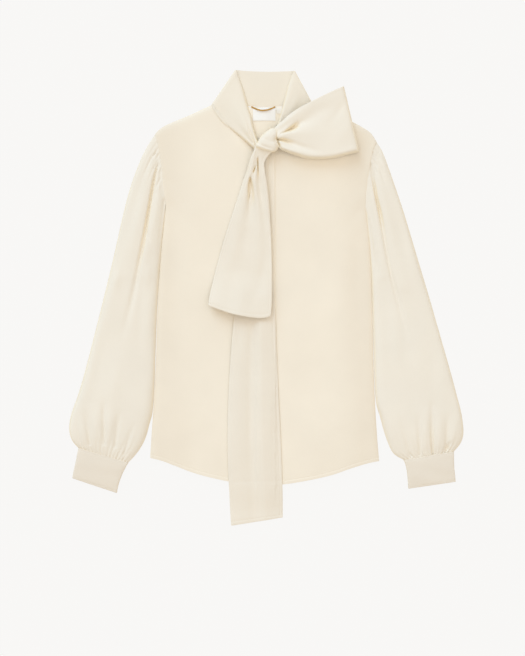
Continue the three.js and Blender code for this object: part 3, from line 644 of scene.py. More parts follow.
# ---- back ----------------------------------------------------------------
NECK_WRINKLES = table("x0 y0 x1 y1 x2 y2 half0 half2 r0 r1 r2",
    ("below the label", -22, 314, -4, 312.5, 14, 314, 2.2, 2.2, 0.0, 0.35, 0.0),
    ("below the label", -20, 309, -2, 307.5, 15, 309.5, 2.2, 2.2, 0.0, -0.35, 0.0),
    ("below the label", -18, 304, 0, 302.5, 14, 304, 2.4, 2.4, 0.0, 0.35, 0.0),
    ("hollow", -20, 298, -4, 292, 10, 298, 4.5, 4.5, 0.0, -0.4, 0.0))


def neck_rise(x, y):
    """How far the back stands off the surface inside the neckline."""
    inside = smooth((y - np.where(abs(x) < 90, neck_front_y(x), 1e3) - 3) / 16) * smooth((351 - y) / 14)
    return inside * (5.0 + 3.6 * np.exp(-(((x + 3) / 22) ** 2)) + fold_height(NECK_WRINKLES, x, y))



def back_panel():
    u = snap(snap(steps(412, 5.0, EDGE, EDGE), (199.6 - 101) / 398.1), (199.6 + 93) / 398.1)
    v = steps(640, 5.0, HEM_STEPS, EDGE)
    X, Y = coons((-209.2, -199.6), (203.2, 198.5), hem_y, top_back_y, side_right, side_left, u, v)
    dh = Y - hem_y(X)
    # flat where it rests; the part that shows in the neck opening stands a little and has faint wrinkles
    Z = 0.02 + CLOTH / 2 + neck_rise(X, Y)
    P = np.stack([X, Y, Z], 2)
    obj = shell("blouse_back", P, CLOTH, floor=0.0)
    return piece(obj, "back", body_cloth)


# ---- placket -------------------------------------------------------------


def placket_height(x, y):
    right = PLACKET_RIGHT - x
    left = x - PLACKET_LEFT
    z = body_height(np.clip(x, -14, 200), y) + 1.15
    z = z - 0.5 * np.exp(-np.maximum(right, 0) / 1.0) - 0.6 * np.exp(-np.maximum(left, 0) / 1.0)
    z = z - 0.3 * np.exp(-(((right - 3.6) / 0.9) ** 2))
    return z + 0.12 * np.sin(y / 21.0) + 0.1 * np.sin(y / 9.0 + 1.0)


def placket_piece():
    u = steps(PLACKET_RIGHT - PLACKET_LEFT, 2.4, EDGE, (0.25, 0.6, 1.1, 1.8, 2.5, 3.1, 3.6, 4.1, 4.8))
    v = steps(602, 3.4, EDGE, EDGE)
    X = PLACKET_LEFT + (PLACKET_RIGHT - PLACKET_LEFT) * u[None, :] + 0 * v[:, None]
    low, high = hem_y(X) + 0.4, neck_front_y(X) - 0.5
    Y = low + (high - low) * v[:, None]
    P = np.stack([X, Y, placket_height(X, Y)], 2)
    obj = shell("blouse_placket", P, BAND)
    piece(obj, "placket", body_cloth)
    j = int(np.argmin(abs((1 - u) * (PLACKET_RIGHT - PLACKET_LEFT) - 3.6)))
    N = normals_of(P, False)
    rows = stitch_row("placket_stitches", (P + N * BAND / 2)[:, j], N[:, j], sewing)
    return obj, rows


# ---- sleeves -------------------------------------------------------------
SLEEVE_RIGHT = table("ox oy ix iy full",
    ("armhole", -200.6, 295.4, -181.5, 168.0, 3.2),
    ("cap", -212.0, 277.0, -181.8, 163.0, 4.6),
    ("cap", -225.5, 250.0, -182.6, 152.5, 6.0),
    ("upper arm", -243.8, 201.0, -185.2, 127.0, 7.4),
    ("upper arm", -256.4, 154.5, -188.8, 92.0, 8.2),
    ("above elbow", -275.2, 71.5, -194.2, 24.0, 8.8),
    ("elbow", -292.2, 1.5, -197.6, -37.5, 9.0),
    ("below elbow", -310.2, -70.5, -199.6, -98.5, 9.2),
    ("forearm", -327.2, -135.5, -201.6, -158.0, 9.8),
    ("forearm", -340.7, -180.5, -205.0, -205.5, 10.4),
    ("fullest", -349.9, -205.5, -211.0, -229.5, 10.6),
    ("fullest", -354.7, -229.0, -217.6, -252.5, 10.0),
    ("blouse", -353.4, -247.0, -227.0, -271.0, 8.6),
    ("blouse", -347.2, -260.5, -238.5, -286.0, 6.6),
    ("cuff seam", -337.6, -271.0, -249.0, -297.2, 4.2))
SLEEVE_LEFT = table("ox oy ix iy full",
    ("armhole", 199.5, 281.0, 179.4, 160.5, 3.2),
    ("cap", 209.0, 264.5, 179.8, 156.0, 4.6),
    ("cap", 220.2, 234.5, 181.0, 146.0, 6.0),
    ("upper arm", 234.8, 192.0, 183.6, 121.0, 7.4),
    ("upper arm", 248.4, 151.0, 186.9, 87.0, 8.2),
    ("above elbow", 272.2, 71.5, 190.4, 20.0, 8.8),
    ("elbow", 293.2, 1.5, 192.3, -40.5, 9.0),
    ("below elbow", 313.8, -70.5, 193.9, -102.0, 9.2),
    ("forearm", 332.8, -137.0, 196.0, -163.0, 9.8),
    ("forearm", 344.3, -180.5, 198.6, -192.0, 10.4),
    ("fullest", 350.8, -205.5, 205.0, -214.0, 10.6),
    ("fullest", 354.3, -229.0, 211.2, -237.0, 10.0),
    ("blouse", 354.7, -247.0, 218.6, -259.0, 8.6),
    ("blouse", 349.2, -263.0, 229.6, -280.5, 6.6),
    ("cuff seam", 337.6, -277.2, 248.0, -292.2, 4.2))

# long soft folds; troughs beside ridges, as uneven as they lie
SLEEVE_FOLDS = table("x0 y0 x1 y1 x2 y2 half0 half2 r0 r1 r2",
    # wearer's right sleeve
    ("R long trough head", -195.4, 239.7, -202.6, 208, -208.9, 171.5, 1.9, 2.4, -3.2, -5.0, -4.6),
    ("R long trough", -208.9, 171.5, -218.4, 114.4, -228.5, 61.7, 2.4, 3.8, -4.6, -4.4, -3.2),
    ("R long trough tail", -228.5, 61.7, -241.1, -3.2, -255.5, -61.8, 3.8, 7.0, -3.2, -2.0, -0.4),
    ("R second crease", -190, 231.8, -191.4, 215.9, -196.3, 200.1, 1.7, 2.4, -0.9, -1.5, -0.4),
    ("R band beside it", -198.5, 203, -200.5, 188, -203.9, 172.4, 3.0, 3.4, -0.3, -0.9, -0.3),
    ("R small crease", -214.3, 118.7, -211.5, 108, -208, 96.8, 2.2, 2.8, -0.5, -1.1, -0.3),
    ("R inner swell", -211, 62, -213, 40, -216, 14, 7, 8, 0.2, 1.3, 0.2),
    ("R outer swell", -266, 50, -269, 33, -273, 12, 6, 7, 0.2, 1.1, 0.2),
    ("R hollow at the armhole", -184, 216, -184.5, 204, -186, 190, 4.5, 5, -0.4, -1.0, -0.4),
    ("R ridge beside it", -187, 240, -199, 150, -224, 42, 5, 10, 0.6, 1.6, 0.8),
    ("R ridge outside it", -204, 250, -224, 160, -250, 40, 6, 11, 0.6, 1.3, 0.5),
    ("R short head", -199.4, 262.4, -200.8, 257, -202.1, 251, 1.4, 1.7, -1.6, -2.2, -0.4),
    ("R short head 2", -194, 258.8, -195.2, 254, -196.3, 248, 1.3, 1.6, -1.6, -2.0, -0.4),
    ("R short head 4", -206, 256, -212, 238, -218, 216, 2.0, 4.0, -0.8, -0.8, 0.0),
    ("R short head 3", -190, 226, -189, 208, -190, 186, 2.2, 3.6, -1.1, -1.2, 0.0),
    ("R under head", -183.5, 176, -187, 130, -193, 70, 3.2, 6, -1.3, -1.5, -0.4),
    ("R outer soft", -228, 210, -252, 120, -279, 30, 8, 12, -0.2, -1.0, -0.2),
    ("R outer soft 2", -240, 150, -262, 60, -286, -30, 9, 13, 0.1, 0.8, 0.1),
    ("R elbow soft", -222, 40, -226, -30, -228, -90, 9, 12, -0.1, -0.9, -0.2),
    ("R elbow ridge", -212, 10, -213, -60, -216, -130, 8, 12, 0.1, 0.8, 0.1),
    ("R forearm soft", -286, -60, -300, -120, -312, -180, 10, 14, -0.1, -0.9, -0.4),
    ("R forearm ridge", -262, -80, -272, -150, -282, -210, 10, 15, 0.1, 0.9, 0.4),
    # wearer's left sleeve
    ("L long trough head", 187.7, 241.3, 193.2, 208, 198.8, 176.3, 1.8, 2.3, -3.4, -5.2, -4.9),
    ("L long trough", 198.8, 176.3, 205.1, 150, 210.5, 117.3, 2.3, 3.4, -4.9, -4.4, -2.5),
    ("L long trough low", 210.5, 117.3, 218.0, 72, 224, 42.8, 3.2, 3.2, -2.5, -2.2, -2.2),
    ("L long trough tail", 224, 42.8, 236, -2, 253.2, -68, 3.2, 6.5, -2.2, -2.1, -0.4),
    ("L second crease", 193.2, 260.2, 196.3, 239, 198.1, 215.9, 1.3, 1.8, -2.2, -2.2, -0.4),
    ("L third crease", 202.8, 270, 203.5, 258, 204.2, 246, 1.3, 1.6, -0.8, -0.8, -0.2),
    ("L band in the fold", 199.4, 80, 199.6, 60, 200.5, 38, 3.4, 3.6, -0.4, -1.1, -0.3),
    ("L ridge beside it", 186, 220, 196, 150, 212, 40, 4.5, 8, 0.6, 1.5, 0.8),
    ("L ridge outside it", 200, 236, 216, 150, 246, 20, 6, 11, 0.8, 1.5, 0.6),
    ("L short head", 197.5, 268, 199.5, 256, 202, 244, 1.6, 2.6, -0.6, -0.6, 0.0),
    ("L short head 2", 200, 255, 207, 228, 216, 195, 2.2, 5.0, -0.8, -1.0, 0.0),
    ("L short head 3", 204, 262, 211, 240, 219, 214, 2.0, 4.0, 0.4, 0.8, 0.0),
    ("L under head", 183, 140, 190, 88, 194, 40, 3.2, 5, -1.4, -2.2, -0.4),
    ("L outer soft", 222, 205, 246, 110, 276, 10, 8, 12, -0.2, -1.0, -0.2),
    ("L outer soft 2", 240, 165, 266, 70, 292, -20, 8, 12, 0.1, 0.9, 0.1),
    ("L elbow soft", 212, 0, 216, -60, 220, -110, 9, 12, -0.1, -0.9, -0.2),
    ("L elbow ridge", 228, -20, 236, -80, 240, -140, 8, 12, 0.1, 0.8, 0.1),
    ("L forearm soft", 288, -70, 300, -130, 306, -190, 10, 14, -0.1, -0.9, -0.3),
    ("L forearm ridge", 262, -90, 276, -150, 288, -200, 10, 14, 0.1, 0.9, 0.3),
    # full ends above the cuffs
    ("R cuff main", -292, -186, -292.5, -212, -291, -262, 5.0, 2.6, -0.3, -2.2, -2.0),
    ("R cuff outer", -326, -196, -322, -226, -318, -262, 6.5, 2.6, 0.0, -1.4, -1.6),
    ("R cuff inner", -262, -200, -268, -232, -272, -268, 6.0, 2.6, 0.0, -1.4, -1.6),
    ("R cuff far inner", -236, -222, -247, -252, -256, -282, 5.0, 2.4, 0.0, -1.2, -1.4),
    ("R cuff swell", -310, -200, -306, -226, -303, -250, 9, 6, 0.3, 1.5, 0.8),
    ("R cuff swell 2", -278, -200, -281, -228, -283, -254, 8, 6, 0.3, 1.5, 0.8),
    ("R cuff swell 3", -334, -210, -330, -236, -326, -256, 7, 5, 0.2, 1.2, 0.7),
    ("L cuff main", 297, -192, 298, -236, 299.5, -281, 4.2, 2.4, -0.6, -2.9, -2.6),
    ("L cuff outer", 326, -206, 325, -240, 325, -272, 5.5, 2.8, 0.0, -1.7, -2.4),
    ("L cuff knot", 331, -262, 327, -268, 322, -277, 3.2, 3.0, -1.4, -2.4, -2.0),
    ("L cuff inner", 272, -206, 275, -244, 276, -282, 5.5, 2.6, 0.0, -1.5, -1.8),
    ("L cuff far inner", 240, -216, 252, -254, 260, -286, 5.0, 2.4, 0.0, -1.2, -1.5),
    ("L cuff swell", 311, -200, 311, -240, 311, -264, 8, 6, 0.3, 1.6, 0.9),
    ("L cuff swell 2", 285, -205, 286, -240, 288, -266, 7, 5, 0.3, 1.5, 0.8),
    ("L cuff swell 3", 340, -214, 338, -244, 334, -266, 6, 5, 0.2, 1.1, 0.7))

# small gathers at the seams: place across, half width, depth, length down from the seam
CUFF_GATHERS = {
    "right": table("u half depth long",
        ("a", 0.07, 0.022, -0.9, 15), ("b", 0.135, 0.020, -1.4, 26), ("c", 0.20, 0.018, -0.8, 14), ("d", 0.275, 0.020, -1.5, 30),
        ("e", 0.335, 0.016, -0.9, 16), ("f", 0.39, 0.018, -1.4, 24), ("g", 0.455, 0.020, -1.6, 34), ("h", 0.52, 0.016, -0.8, 15),
        ("i", 0.58, 0.018, -1.3, 27), ("j", 0.64, 0.018, -1.5, 22), ("k", 0.70, 0.016, -0.8, 14), ("l", 0.76, 0.020, -1.4, 28),
        ("m", 0.82, 0.016, -0.8, 13), ("n", 0.875, 0.020, -1.2, 22), ("o", 0.94, 0.016, -0.7, 12)),
    "left": table("u half depth long",
        ("a", 0.055, 0.018, -0.8, 12), ("b", 0.11, 0.024, -2.0, 22), ("c", 0.175, 0.020, -1.2, 16), ("d", 0.235, 0.022, -1.7, 26),
        ("e", 0.30, 0.016, -0.9, 15), ("f", 0.36, 0.018, -1.2, 22), ("g", 0.425, 0.020, -1.8, 36), ("h", 0.485, 0.018, -1.4, 22),
        ("i", 0.545, 0.018, -1.3, 28), ("j", 0.60, 0.016, -1.5, 18), ("k", 0.66, 0.018, -1.2, 24), ("l", 0.725, 0.016, -0.8, 14),
        ("m", 0.785, 0.020, -1.3, 24), ("n", 0.85, 0.016, -0.8, 13), ("o", 0.92, 0.018, -0.9, 16)),
}
HEAD_GATHERS = {
    "right": table("u half depth long",
        ("a", 0.05, 0.020, -0.7, 12), ("b", 0.12, 0.022, -0.9, 20), ("c", 0.20, 0.022, -1.3, 34), ("d", 0.27, 0.020, -0.8, 14),
        ("e", 0.34, 0.022, -1.2, 30), ("f", 0.42, 0.022, -0.7, 16), ("g", 0.50, 0.024, -0.9, 24), ("h", 0.60, 0.024, -0.5, 16)),
    "left": table("u half depth long",
        ("a", 0.04, 0.020, -0.7, 12), ("b", 0.10, 0.020, -1.1, 22), ("c", 0.17, 0.020, -0.8, 14), ("d", 0.24, 0.022, -1.3, 30),
        ("e", 0.32, 0.020, -0.8, 18), ("f", 0.40, 0.022, -0.9, 22), ("g", 0.50, 0.024, -0.6, 18), ("h", 0.62, 0.024, -0.5, 14)),
}


def gathers(rows, u, distance):
    out = np.zeros_like(u)
    for i in range(len(rows["label"])):
        near = np.exp(-(((u - rows["u"][i]) / rows["half"][i]) ** 2))
        out += rows["depth"][i] * near * np.exp(-((distance / rows["long"][i]) ** 1.4))
    return out


def sleeve(which, rows, sign):
    centre = np.stack([(rows["ox"] + rows["ix"]) / 2, (rows["oy"] + rows["iy"]) / 2], 1)
    gone = np.concatenate([[0], np.cumsum(np.linalg.norm(np.diff(centre, axis=0), axis=1))])
    length = gone[-1]
    s = steps(length, 3.3, (0.5, 1.2, 2.2, 3.4, 5.0), (0.4, 1.0, 1.8, 2.8, 4.0, 5.4, 7.0, 9.0, 11.0, 13.2, 15.6)) * length
    ox, oy, ix, iy, full = (curve(gone, rows[k], s) for k in ("ox", "oy", "ix", "iy", "full"))
    n_top, n_low = 120, 36
    t = np.linspace(0, 1, n_top)
    u_top = t - 0.62 * np.sin(2 * math.pi * t) / (2 * math.pi)
    t = np.linspace(0, 1, n_low + 2)[1:-1]
    u_low = 1 - (t - 0.62 * np.sin(2 * math.pi * t) / (2 * math.pi))
    u = np.concatenate([u_top, u_low])[None, :]
    X = ox[:, None] + (ix - ox)[:, None] * u
    Y = oy[:, None] + (iy - oy)[:, None] * u
    arm = ARM_RIGHT if which == "right" else ARM_LEFT
    inward = 0.5 if which == "right" else -0.5
    bend = curve(arm["y"], arm["x"], np.clip(Y[0], 168, arm["y"][-1])) + inward - X[0]
    X = X + bend[None, :] * np.exp(-s / 16)[:, None]
    width = np.hypot(ix - ox, iy - oy)[:, None]
    near_edge = np.minimum(u, 1 - u) * width
    roll = (1 - np.exp(-np.minimum(u * width, 60) / 3.6)) * (1 - np.exp(-np.minimum((1 - u) * width, 60) / 4.6))
    dome = roll * (0.8 + 0.2 * np.clip(4 * u * (1 - u), 0, 1))
    to_cuff = (length - s)[:, None] + 0 * u
    from_head = s[:, None] + 0 * u
    relief = 1.28 * fold_height(SLEEVE_FOLDS, X, Y) * smooth(near_edge / 9)
    relief += undulate(X, Y, ((140.0, 68.0, 0.4 + sign, 0.5), (88.0, 15.0, 2.0, 0.35), (61.0, -20.0, 3.3, 0.2))) * smooth(near_edge / 16) * smooth(to_cuff / 40) * smooth(from_head / 60)
    relief += gathers(CUFF_GATHERS[which], u + 0 * X, to_cuff) * smooth(near_edge / 2.5)
    relief += gathers(HEAD_GATHERS[which], u + 0 * X, from_head) * smooth(near_edge / 4)
    # along the armhole the cloth is level with the front it is sewn to
    level = np.exp(-from_head / 9)
    armhole = body_height(X, np.clip(Y, 169, 400)) * (1 - 0.5 * np.exp(-near_edge / 3))
    height = (0.9 + 1.0 * full[:, None] * dome + relief)
    height = height * (1 - level) + (armhole + 0.35 * relief) * level
    height = np.maximum(height, 1.0 + 0.5 * smooth(near_edge / 3))
    # the seams: cloth pressed down where it is sewn in
    height -= 0.5 * np.exp(-to_cuff / 1.6) + 0.12 * np.exp(-from_head / 1.6)
    Z = np.where(np.arange(u.shape[1])[None, :] < n_top, np.maximum(height, 0.95), CLOTH / 2 + 0 * height)
    P = np.stack([X, Y, Z], 2)
    obj = shell(f"blouse_sleeve_{which}", P, CLOTH, wrap=True, floor=0.0)
    return piece(obj, f"sleeve_{which}", sleeve_cloth)


# ---- cuffs ---------------------------------------------------------------
CUFF_RIGHT = table("ox oy ix iy full",
    ("seam", -337.8, -270.6, -248.8, -296.9, 3.3), ("near", -339.6, -280.0, -253.4, -304.6, 3.9), ("middle", -343.5, -299.0, -261.3, -321.0, 4.0),
    ("low", -346.8, -314.0, -267.0, -338.0, 3.5), ("edge", -349.0, -324.6, -269.5, -351.2, 2.6))
CUFF_LEFT = table("ox oy ix iy full",
    ("seam", 337.8, -276.8, 247.8, -291.8, 3.3), ("near", 337.6, -287.0, 251.6, -301.5, 3.9), ("middle", 338.2, -306.5, 254.6, -319.0, 4.0),
    ("low", 339.6, -320.0, 255.8, -333.0, 3.5), ("edge", 340.8, -331.0, 256.4, -343.4, 2.6))


def cuff(which, rows, seed):
    centre = np.stack([(rows["ox"] + rows["ix"]) / 2, (rows["oy"] + rows["iy"]) / 2], 1)
    gone = np.concatenate([[0], np.cumsum(np.linalg.norm(np.diff(centre, axis=0), axis=1))])
    length = gone[-1]
    s = steps(length, 1.7, (0.3, 0.8, 1.4, 2.0, 2.7, 3.5), (0.25, 0.6, 1.1, 1.8, 2.6, 3.4, 4.2, 5.0)) * length
    ox, oy, ix, iy, full = (curve(gone, rows[k], s) for k in ("ox", "oy", "ix", "iy", "full"))
    n_top, n_low = 64, 28
    t = np.linspace(0, 1, n_top)
    u_top = t - 0.62 * np.sin(2 * math.pi * t) / (2 * math.pi)
    t = np.linspace(0, 1, n_low + 2)[1:-1]
    u_low = 1 - (t - 0.62 * np.sin(2 * math.pi * t) / (2 * math.pi))
    u = np.concatenate([u_top, u_low])[None, :]
    X = ox[:, None] + (ix - ox)[:, None] * u
    Y = oy[:, None] + (iy - oy)[:, None] * u
    width = np.hypot(ix - ox, iy - oy)[:, None]
    near_edge = np.minimum(u, 1 - u) * width
    dome = (2 * np.sqrt(np.clip(u * (1 - u), 0, 1))) ** 0.4
    d0 = s[:, None] + 0 * u
    d1 = (length - s)[:, None] + 0 * u
    Z = 1.5 + full[:, None] * dome
    Z += undulate(X, Y, ((44.0, 20.0 + seed * 40, seed, 0.22), (27.0, 80.0, 1.0 + seed, 0.14))) * smooth(near_edge / 8)
    Z -= 0.35 * np.exp(-(((d0 - 2.4) / 0.7) ** 2)) + 0.3 * np.exp(-(((d1 - 3.0) / 0.7) ** 2))
    Z -= 0.9 * np.exp(-d0 / 0.9) + 0.5 * np.exp(-d1 / 0.8)
    top = np.arange(u.shape[1])[None, :] < n_top
    Z = np.where(top, Z, CUFF / 2)
    P = np.stack([X, Y, Z], 2)
    obj = shell(f"blouse_cuff_{which}", P, CUFF, wrap=True, floor=0.0)
    piece(obj, f"cuff_{which}", cuff_cloth)
    N = normals_of(P, True)
    if N[len(s) // 2, n_top // 2, 2] < 0:
        N = -N
    made = []
    for tag, at in (("seam", 2.4), ("edge", length - 3.0)):
        i = int(np.argmin(abs(s - at)))
        keep = slice(3, n_top - 3)
        made.append(stitch_row(f"cuff_{which}_{tag}_stitches", (P + N * CUFF / 2)[i, keep], N[i, keep], sewing, pitch=2.3))
    return obj, made


# ---- collar --------------------------------------------------------------
COLLAR = table("fx fy fz sx sy sz swell roll",
    ("at the knot", -14.0, 276.0, 18.0, -21.0, 267.0, 8.6, 5.0, 3.0),
    ("right front", -17.4, 288.0, 16.4, -27.5, 273.5, 7.2, 6.4, 8.0),
    ("right front", -22.8, 306.0, 14.0, -37.0, 281.6, 6.0, 7.2, 7.6),
    ("right front", -27.5, 325.0, 11.6, -49.0, 291.8, 5.0, 6.8, 5.4),
    ("right front", -33.6, 348.0, 8.0, -64.5, 304.2, 4.2, 5.4, 6.2),
    ("right front", -42.0, 376.0, 5.8, -81.0, 319.2, 3.6, 3.8, 3.9),
    ("right front", -50.2, 398.0, 4.6, -93.0, 335.5, 4.6, 2.0, 2.2),
    ("right fold", -54.2, 409.2, 4.4, -97.6, 345.8, 4.6, 0.8, 0.0),
    ("right fold", -55.4, 409.9, 2.6, -98.6, 346.5, 2.6, 0.1, 0.0),
    ("right fold", -54.2, 409.8, 0.9, -96.6, 346.0, 0.9, 0.0, 0.0),
    ("back", -36.5, 408.0, 0.9, -62.0, 346.6, 1.2, 0.3, 0.0),
    ("back", -0.5, 406.6, 0.9, -2.0, 343.9, 1.6, 0.6, 0.0),
    ("back", 35.5, 407.3, 0.9, 57.0, 347.0, 1.2, 0.3, 0.0),
    ("left fold", 49.7, 408.2, 0.9, 79.0, 353.5, 0.9, 0.0, 0.0),
    ("left fold", 51.0, 408.3, 2.6, 80.4, 353.9, 2.6, 0.1, 0.0),
    ("left fold", 49.7, 407.5, 4.4, 79.5, 353.2, 4.2, 0.8, 0.0),
    ("left front", 45.7, 398.5, 4.6, 77.3, 339.5, 3.8, 1.8, 2.2),
    ("left front", 39.4, 381.5, 5.6, 66.6, 322.8, 4.0, 3.0, 3.6),
    ("left front", 34.0, 361.5, 7.4, 52.9, 306.5, 4.6, 3.9, 5.6),
    ("left front", 28.8, 341.0, 10.0, 39.4, 293.0, 5.6, 4.4, 5.2),
    ("left front", 23.0, 320.0, 12.4, 27.4, 283.0, 7.4, 4.4, 6.4),
    ("at the knot", 15.2, 298.0, 14.5, 19.2, 277.0, 9.6, 3.0, 3.0))
COLLAR_FOLDS = table("x0 y0 x1 y1 x2 y2 half0 half2 r0 r1 r2",
    ("inner roll trough", -36.5, 330, -29.0, 300, -19.5, 273, 3.2, 1.5, -0.5, -2.4, -3.0),
    ("inner roll", -33, 347, -25.0, 312, -17, 279, 2.6, 1.8, 0.2, 1.0, 1.2),
    ("lower ridge", -72, 312, -48, 292, -24, 271.5, 4.2, 2.2, 0.7, 1.6, 1.4),
    ("middle trough", -58, 318, -42, 299, -25, 279, 6.0, 2.2, -0.2, -1.3, -1.8),
    ("long swell", -66, 372, -50, 335, -34, 302, 9.0, 5.0, 0.2, 1.0, 1.0),
    ("neck side hollow", -84, 345, -74, 330, -62, 318, 9.0, 8.0, -0.2, -0.8, -0.3),
    ("left trough", 33, 335, 28, 312, 21, 290, 4.0, 2.4, -0.1, -1.3, -1.8),
    ("left swell", 50, 352, 40, 325, 26, 297, 7.0, 4.0, 0.2, 1.0, 1.0),
    ("left hollow", 66, 350, 58, 330, 46, 312, 8.0, 6.0, -0.1, -0.8, -0.4),
    ("left line", 60, 372, 52, 352, 44, 338, 5.0, 5.0, 0.0, 0.6, 0.2))
BACK_COLLAR_FOLDS = table("x0 y0 x1 y1 x2 y2 half0 half2 r0 r1 r2",
    ("soft hollow", -30, 352, 0, 349, 32, 353, 7, 7, 0.0, -0.25, 0.0),
    ("soft swell", -34, 376, -2, 380, 34, 376, 14, 14, 0.0, 0.3, 0.0))


def collar():
    rows = COLLAR
    centre = np.stack([(rows["fx"] + rows["sx"]) / 2, (rows["fy"] + rows["sy"]) / 2, (rows["fz"] + rows["sz"]) / 2], 1)
    gone = np.concatenate([[0], np.cumsum(np.linalg.norm(np.diff(centre, axis=0), axis=1))])
    # fine steps round the two folds at the neck's sides
    s = []
    for i in range(len(gone) - 1):
        tight = rows["label"][i].endswith("fold") or rows["label"][i + 1].endswith("fold")
        n = max(2, int(round((gone[i + 1] - gone[i]) / (0.45 if tight and gone[i + 1] - gone[i] < 4 else 2.2))))
        s += list(np.linspace(gone[i], gone[i + 1], n + 1)[:-1])
    s = np.array(s + [gone[-1]])
    fx, fy, fz, sx, sy, sz, swell, roll = (curve(gone, rows[k], s) for k in ("fx", "fy", "fz", "sx", "sy", "sz", "swell", "roll"))
    u = steps(70, 2.0, (0.3, 0.7, 1.2, 1.9, 2.8, 4.0, 5.4), (0.3, 0.7, 1.2, 1.9, 2.8, 4.0))[None, :]
    X = fx[:, None] + (sx - fx)[:, None] * u
    Y = fy[:, None] + (sy - fy)[:, None] * u
    Z = fz[:, None] + (sz - fz)[:, None] * u
    width = np.hypot(sx - fx, sy - fy)[:, None]
    to_seam, to_free = (1 - u) * width, u * width
    front = smooth((Z - 2.6) / 2.0)
    bulge = np.clip(1 - abs(2 * u - 1) ** 2.6, 0, 1) ** 0.45
    Z = Z + swell[:, None] * bulge
    Z = Z + fold_height(COLLAR_FOLDS, X, Y) * front * smooth(to_seam / 5 + 0.1) * smooth(to_free / 3 + 0.35)
    Z = Z + np.where(Z < 2.0, fold_height(BACK_COLLAR_FOLDS, X, Y) * smooth(to_seam / 6), 0)
    Z = Z - 0.86 * roll[:, None] * np.exp(-(to_free / 3.6) ** 1.3) - front * 0.8 * np.exp(-to_seam / 1.3)
    Z = np.maximum(Z, BAND / 2)
    # where it lies over the front it rests on it
    over = ((fz + 0 * s > 4.0)[:, None] & (Y < top_front_y(X) + 1.0) & (X > -99) & (X < 91))
    Z = np.where(over, np.maximum(Z, body_height(X, np.minimum(Y, top_front_y(X))) + (CLOTH + BAND) / 2 + 0.15), Z)
    P = np.stack([X, Y, Z], 2)
    obj = shell("blouse_collar", drawn_in(P), BAND, floor=0.0)
    return piece(obj, "collar_band", tie_cloth)


# ---- bow loop ------------------------------------------------------------
LOOP = table("ux uy lx ly edge low crown layer",
    ("top in knot", 4.0, 293.0, 20.0, 274.0, 20.0, 18.0, 5.0, 1),
    ("top at knot", 13.0, 303.5, 26.0, 267.8, 20.5, 14.0, 5.2, 1),
    ("top", 28.8, 318.3, 33.5, 263.6, 21.6, 10.8, 4.0, 1),
    ("top", 47.2, 334.0, 51.5, 256.8, 23.0, 8.6, 2.2, 1),
    ("top", 66.0, 345.6, 71.5, 250.8, 24.4, 8.0, 0.6, 1),
    ("top", 88.0, 357.0, 94.0, 249.3, 25.0, 8.0, -0.2, 1),
    ("top", 111.0, 368.3, 118.0, 250.8, 24.8, 8.0, -0.2, 1),
    ("top", 129.0, 376.6, 146.0, 257.4, 23.4, 8.0, 0.6, 1),
    ("top at fold", 136.8, 379.8, 162.4, 261.6, 20.6, 8.4, 1.2, 1),
    ("fold", 139.4, 380.5, 167.0, 262.6, 13.2, 8.4, 1.2, 0),
    ("under at fold", 136.4, 379.0, 162.6, 262.8, 8.4, 8.4, 0.0, 0),
    ("under", 124.0, 373.0, 144.0, 261.5, 8.4, 8.4, 0.0, 0),
    ("under", 98.5, 359.5, 108.0, 257.5, 9.4, 8.4, -1.0, 0),
    ("under", 69.0, 344.0, 76.0, 258.0, 13.0, 8.6, -4.4, 0),
    ("under", 43.0, 327.0, 48.0, 264.0, 16.2, 9.6, -6.0, 0),
    ("under at knot", 16.0, 304.0, 24.0, 273.5, 17.0, 13.5, -2.6, 0))
LOOP_FOLDS = table("x0 y0 x1 y1 x2 y2 half0 half2 r0 r1 r2",
    ("upper fold", 10, 301, 34, 319, 72, 341, 5.0, 10.0, 1.6, 2.4, 0.6),
    ("gap head", 24, 293.8, 30, 296.8, 35, 299.5, 1.3, 2.0, -1.0, -3.0, -6.0),
    ("dark gap", 35, 299.5, 46, 304.5, 62, 315, 2.0, 5.5, -6.0, -13.5, -3.0),
    ("gap tail", 62, 315, 80, 321, 104, 328, 5.5, 12, -3.0, -1.5, 0.0),
    ("middle fold", 18, 292, 46, 297, 96, 297, 3.0, 15.0, 1.4, 2.2, 0.8),
    ("lower dark", 21, 284.8, 33, 283.2, 54, 276, 1.7, 4.5, -10.0, -8.5, -2.6),
    ("lower dark tail", 54, 276, 78, 267, 106, 260, 4.5, 8.0, -2.6, -1.6, 0.0),
    ("lower fold", 25, 270.5, 50, 264, 92, 258, 3.0, 7.0, 1.4, 1.8, 0.6),
    ("knot side", 17.5, 291, 21.5, 280, 27, 265, 1.6, 1.9, -4.0, -10.5, -8.0),
    ("right crease", 141, 352, 129, 333, 112, 311, 5.5, 9.0, -0.4, -1.3, -0.2),
    ("right swell", 152, 322, 142, 300, 128, 284, 11, 14, 0.5, 1.2, 0.4),
    ("upper fall", 62, 322, 92, 335, 124, 343, 11, 13, -1.0, -2.0, -0.8),
    ("edge lift", 120, 256, 140, 259, 160, 266, 6, 6, 0.0, 0.8, 0.5))


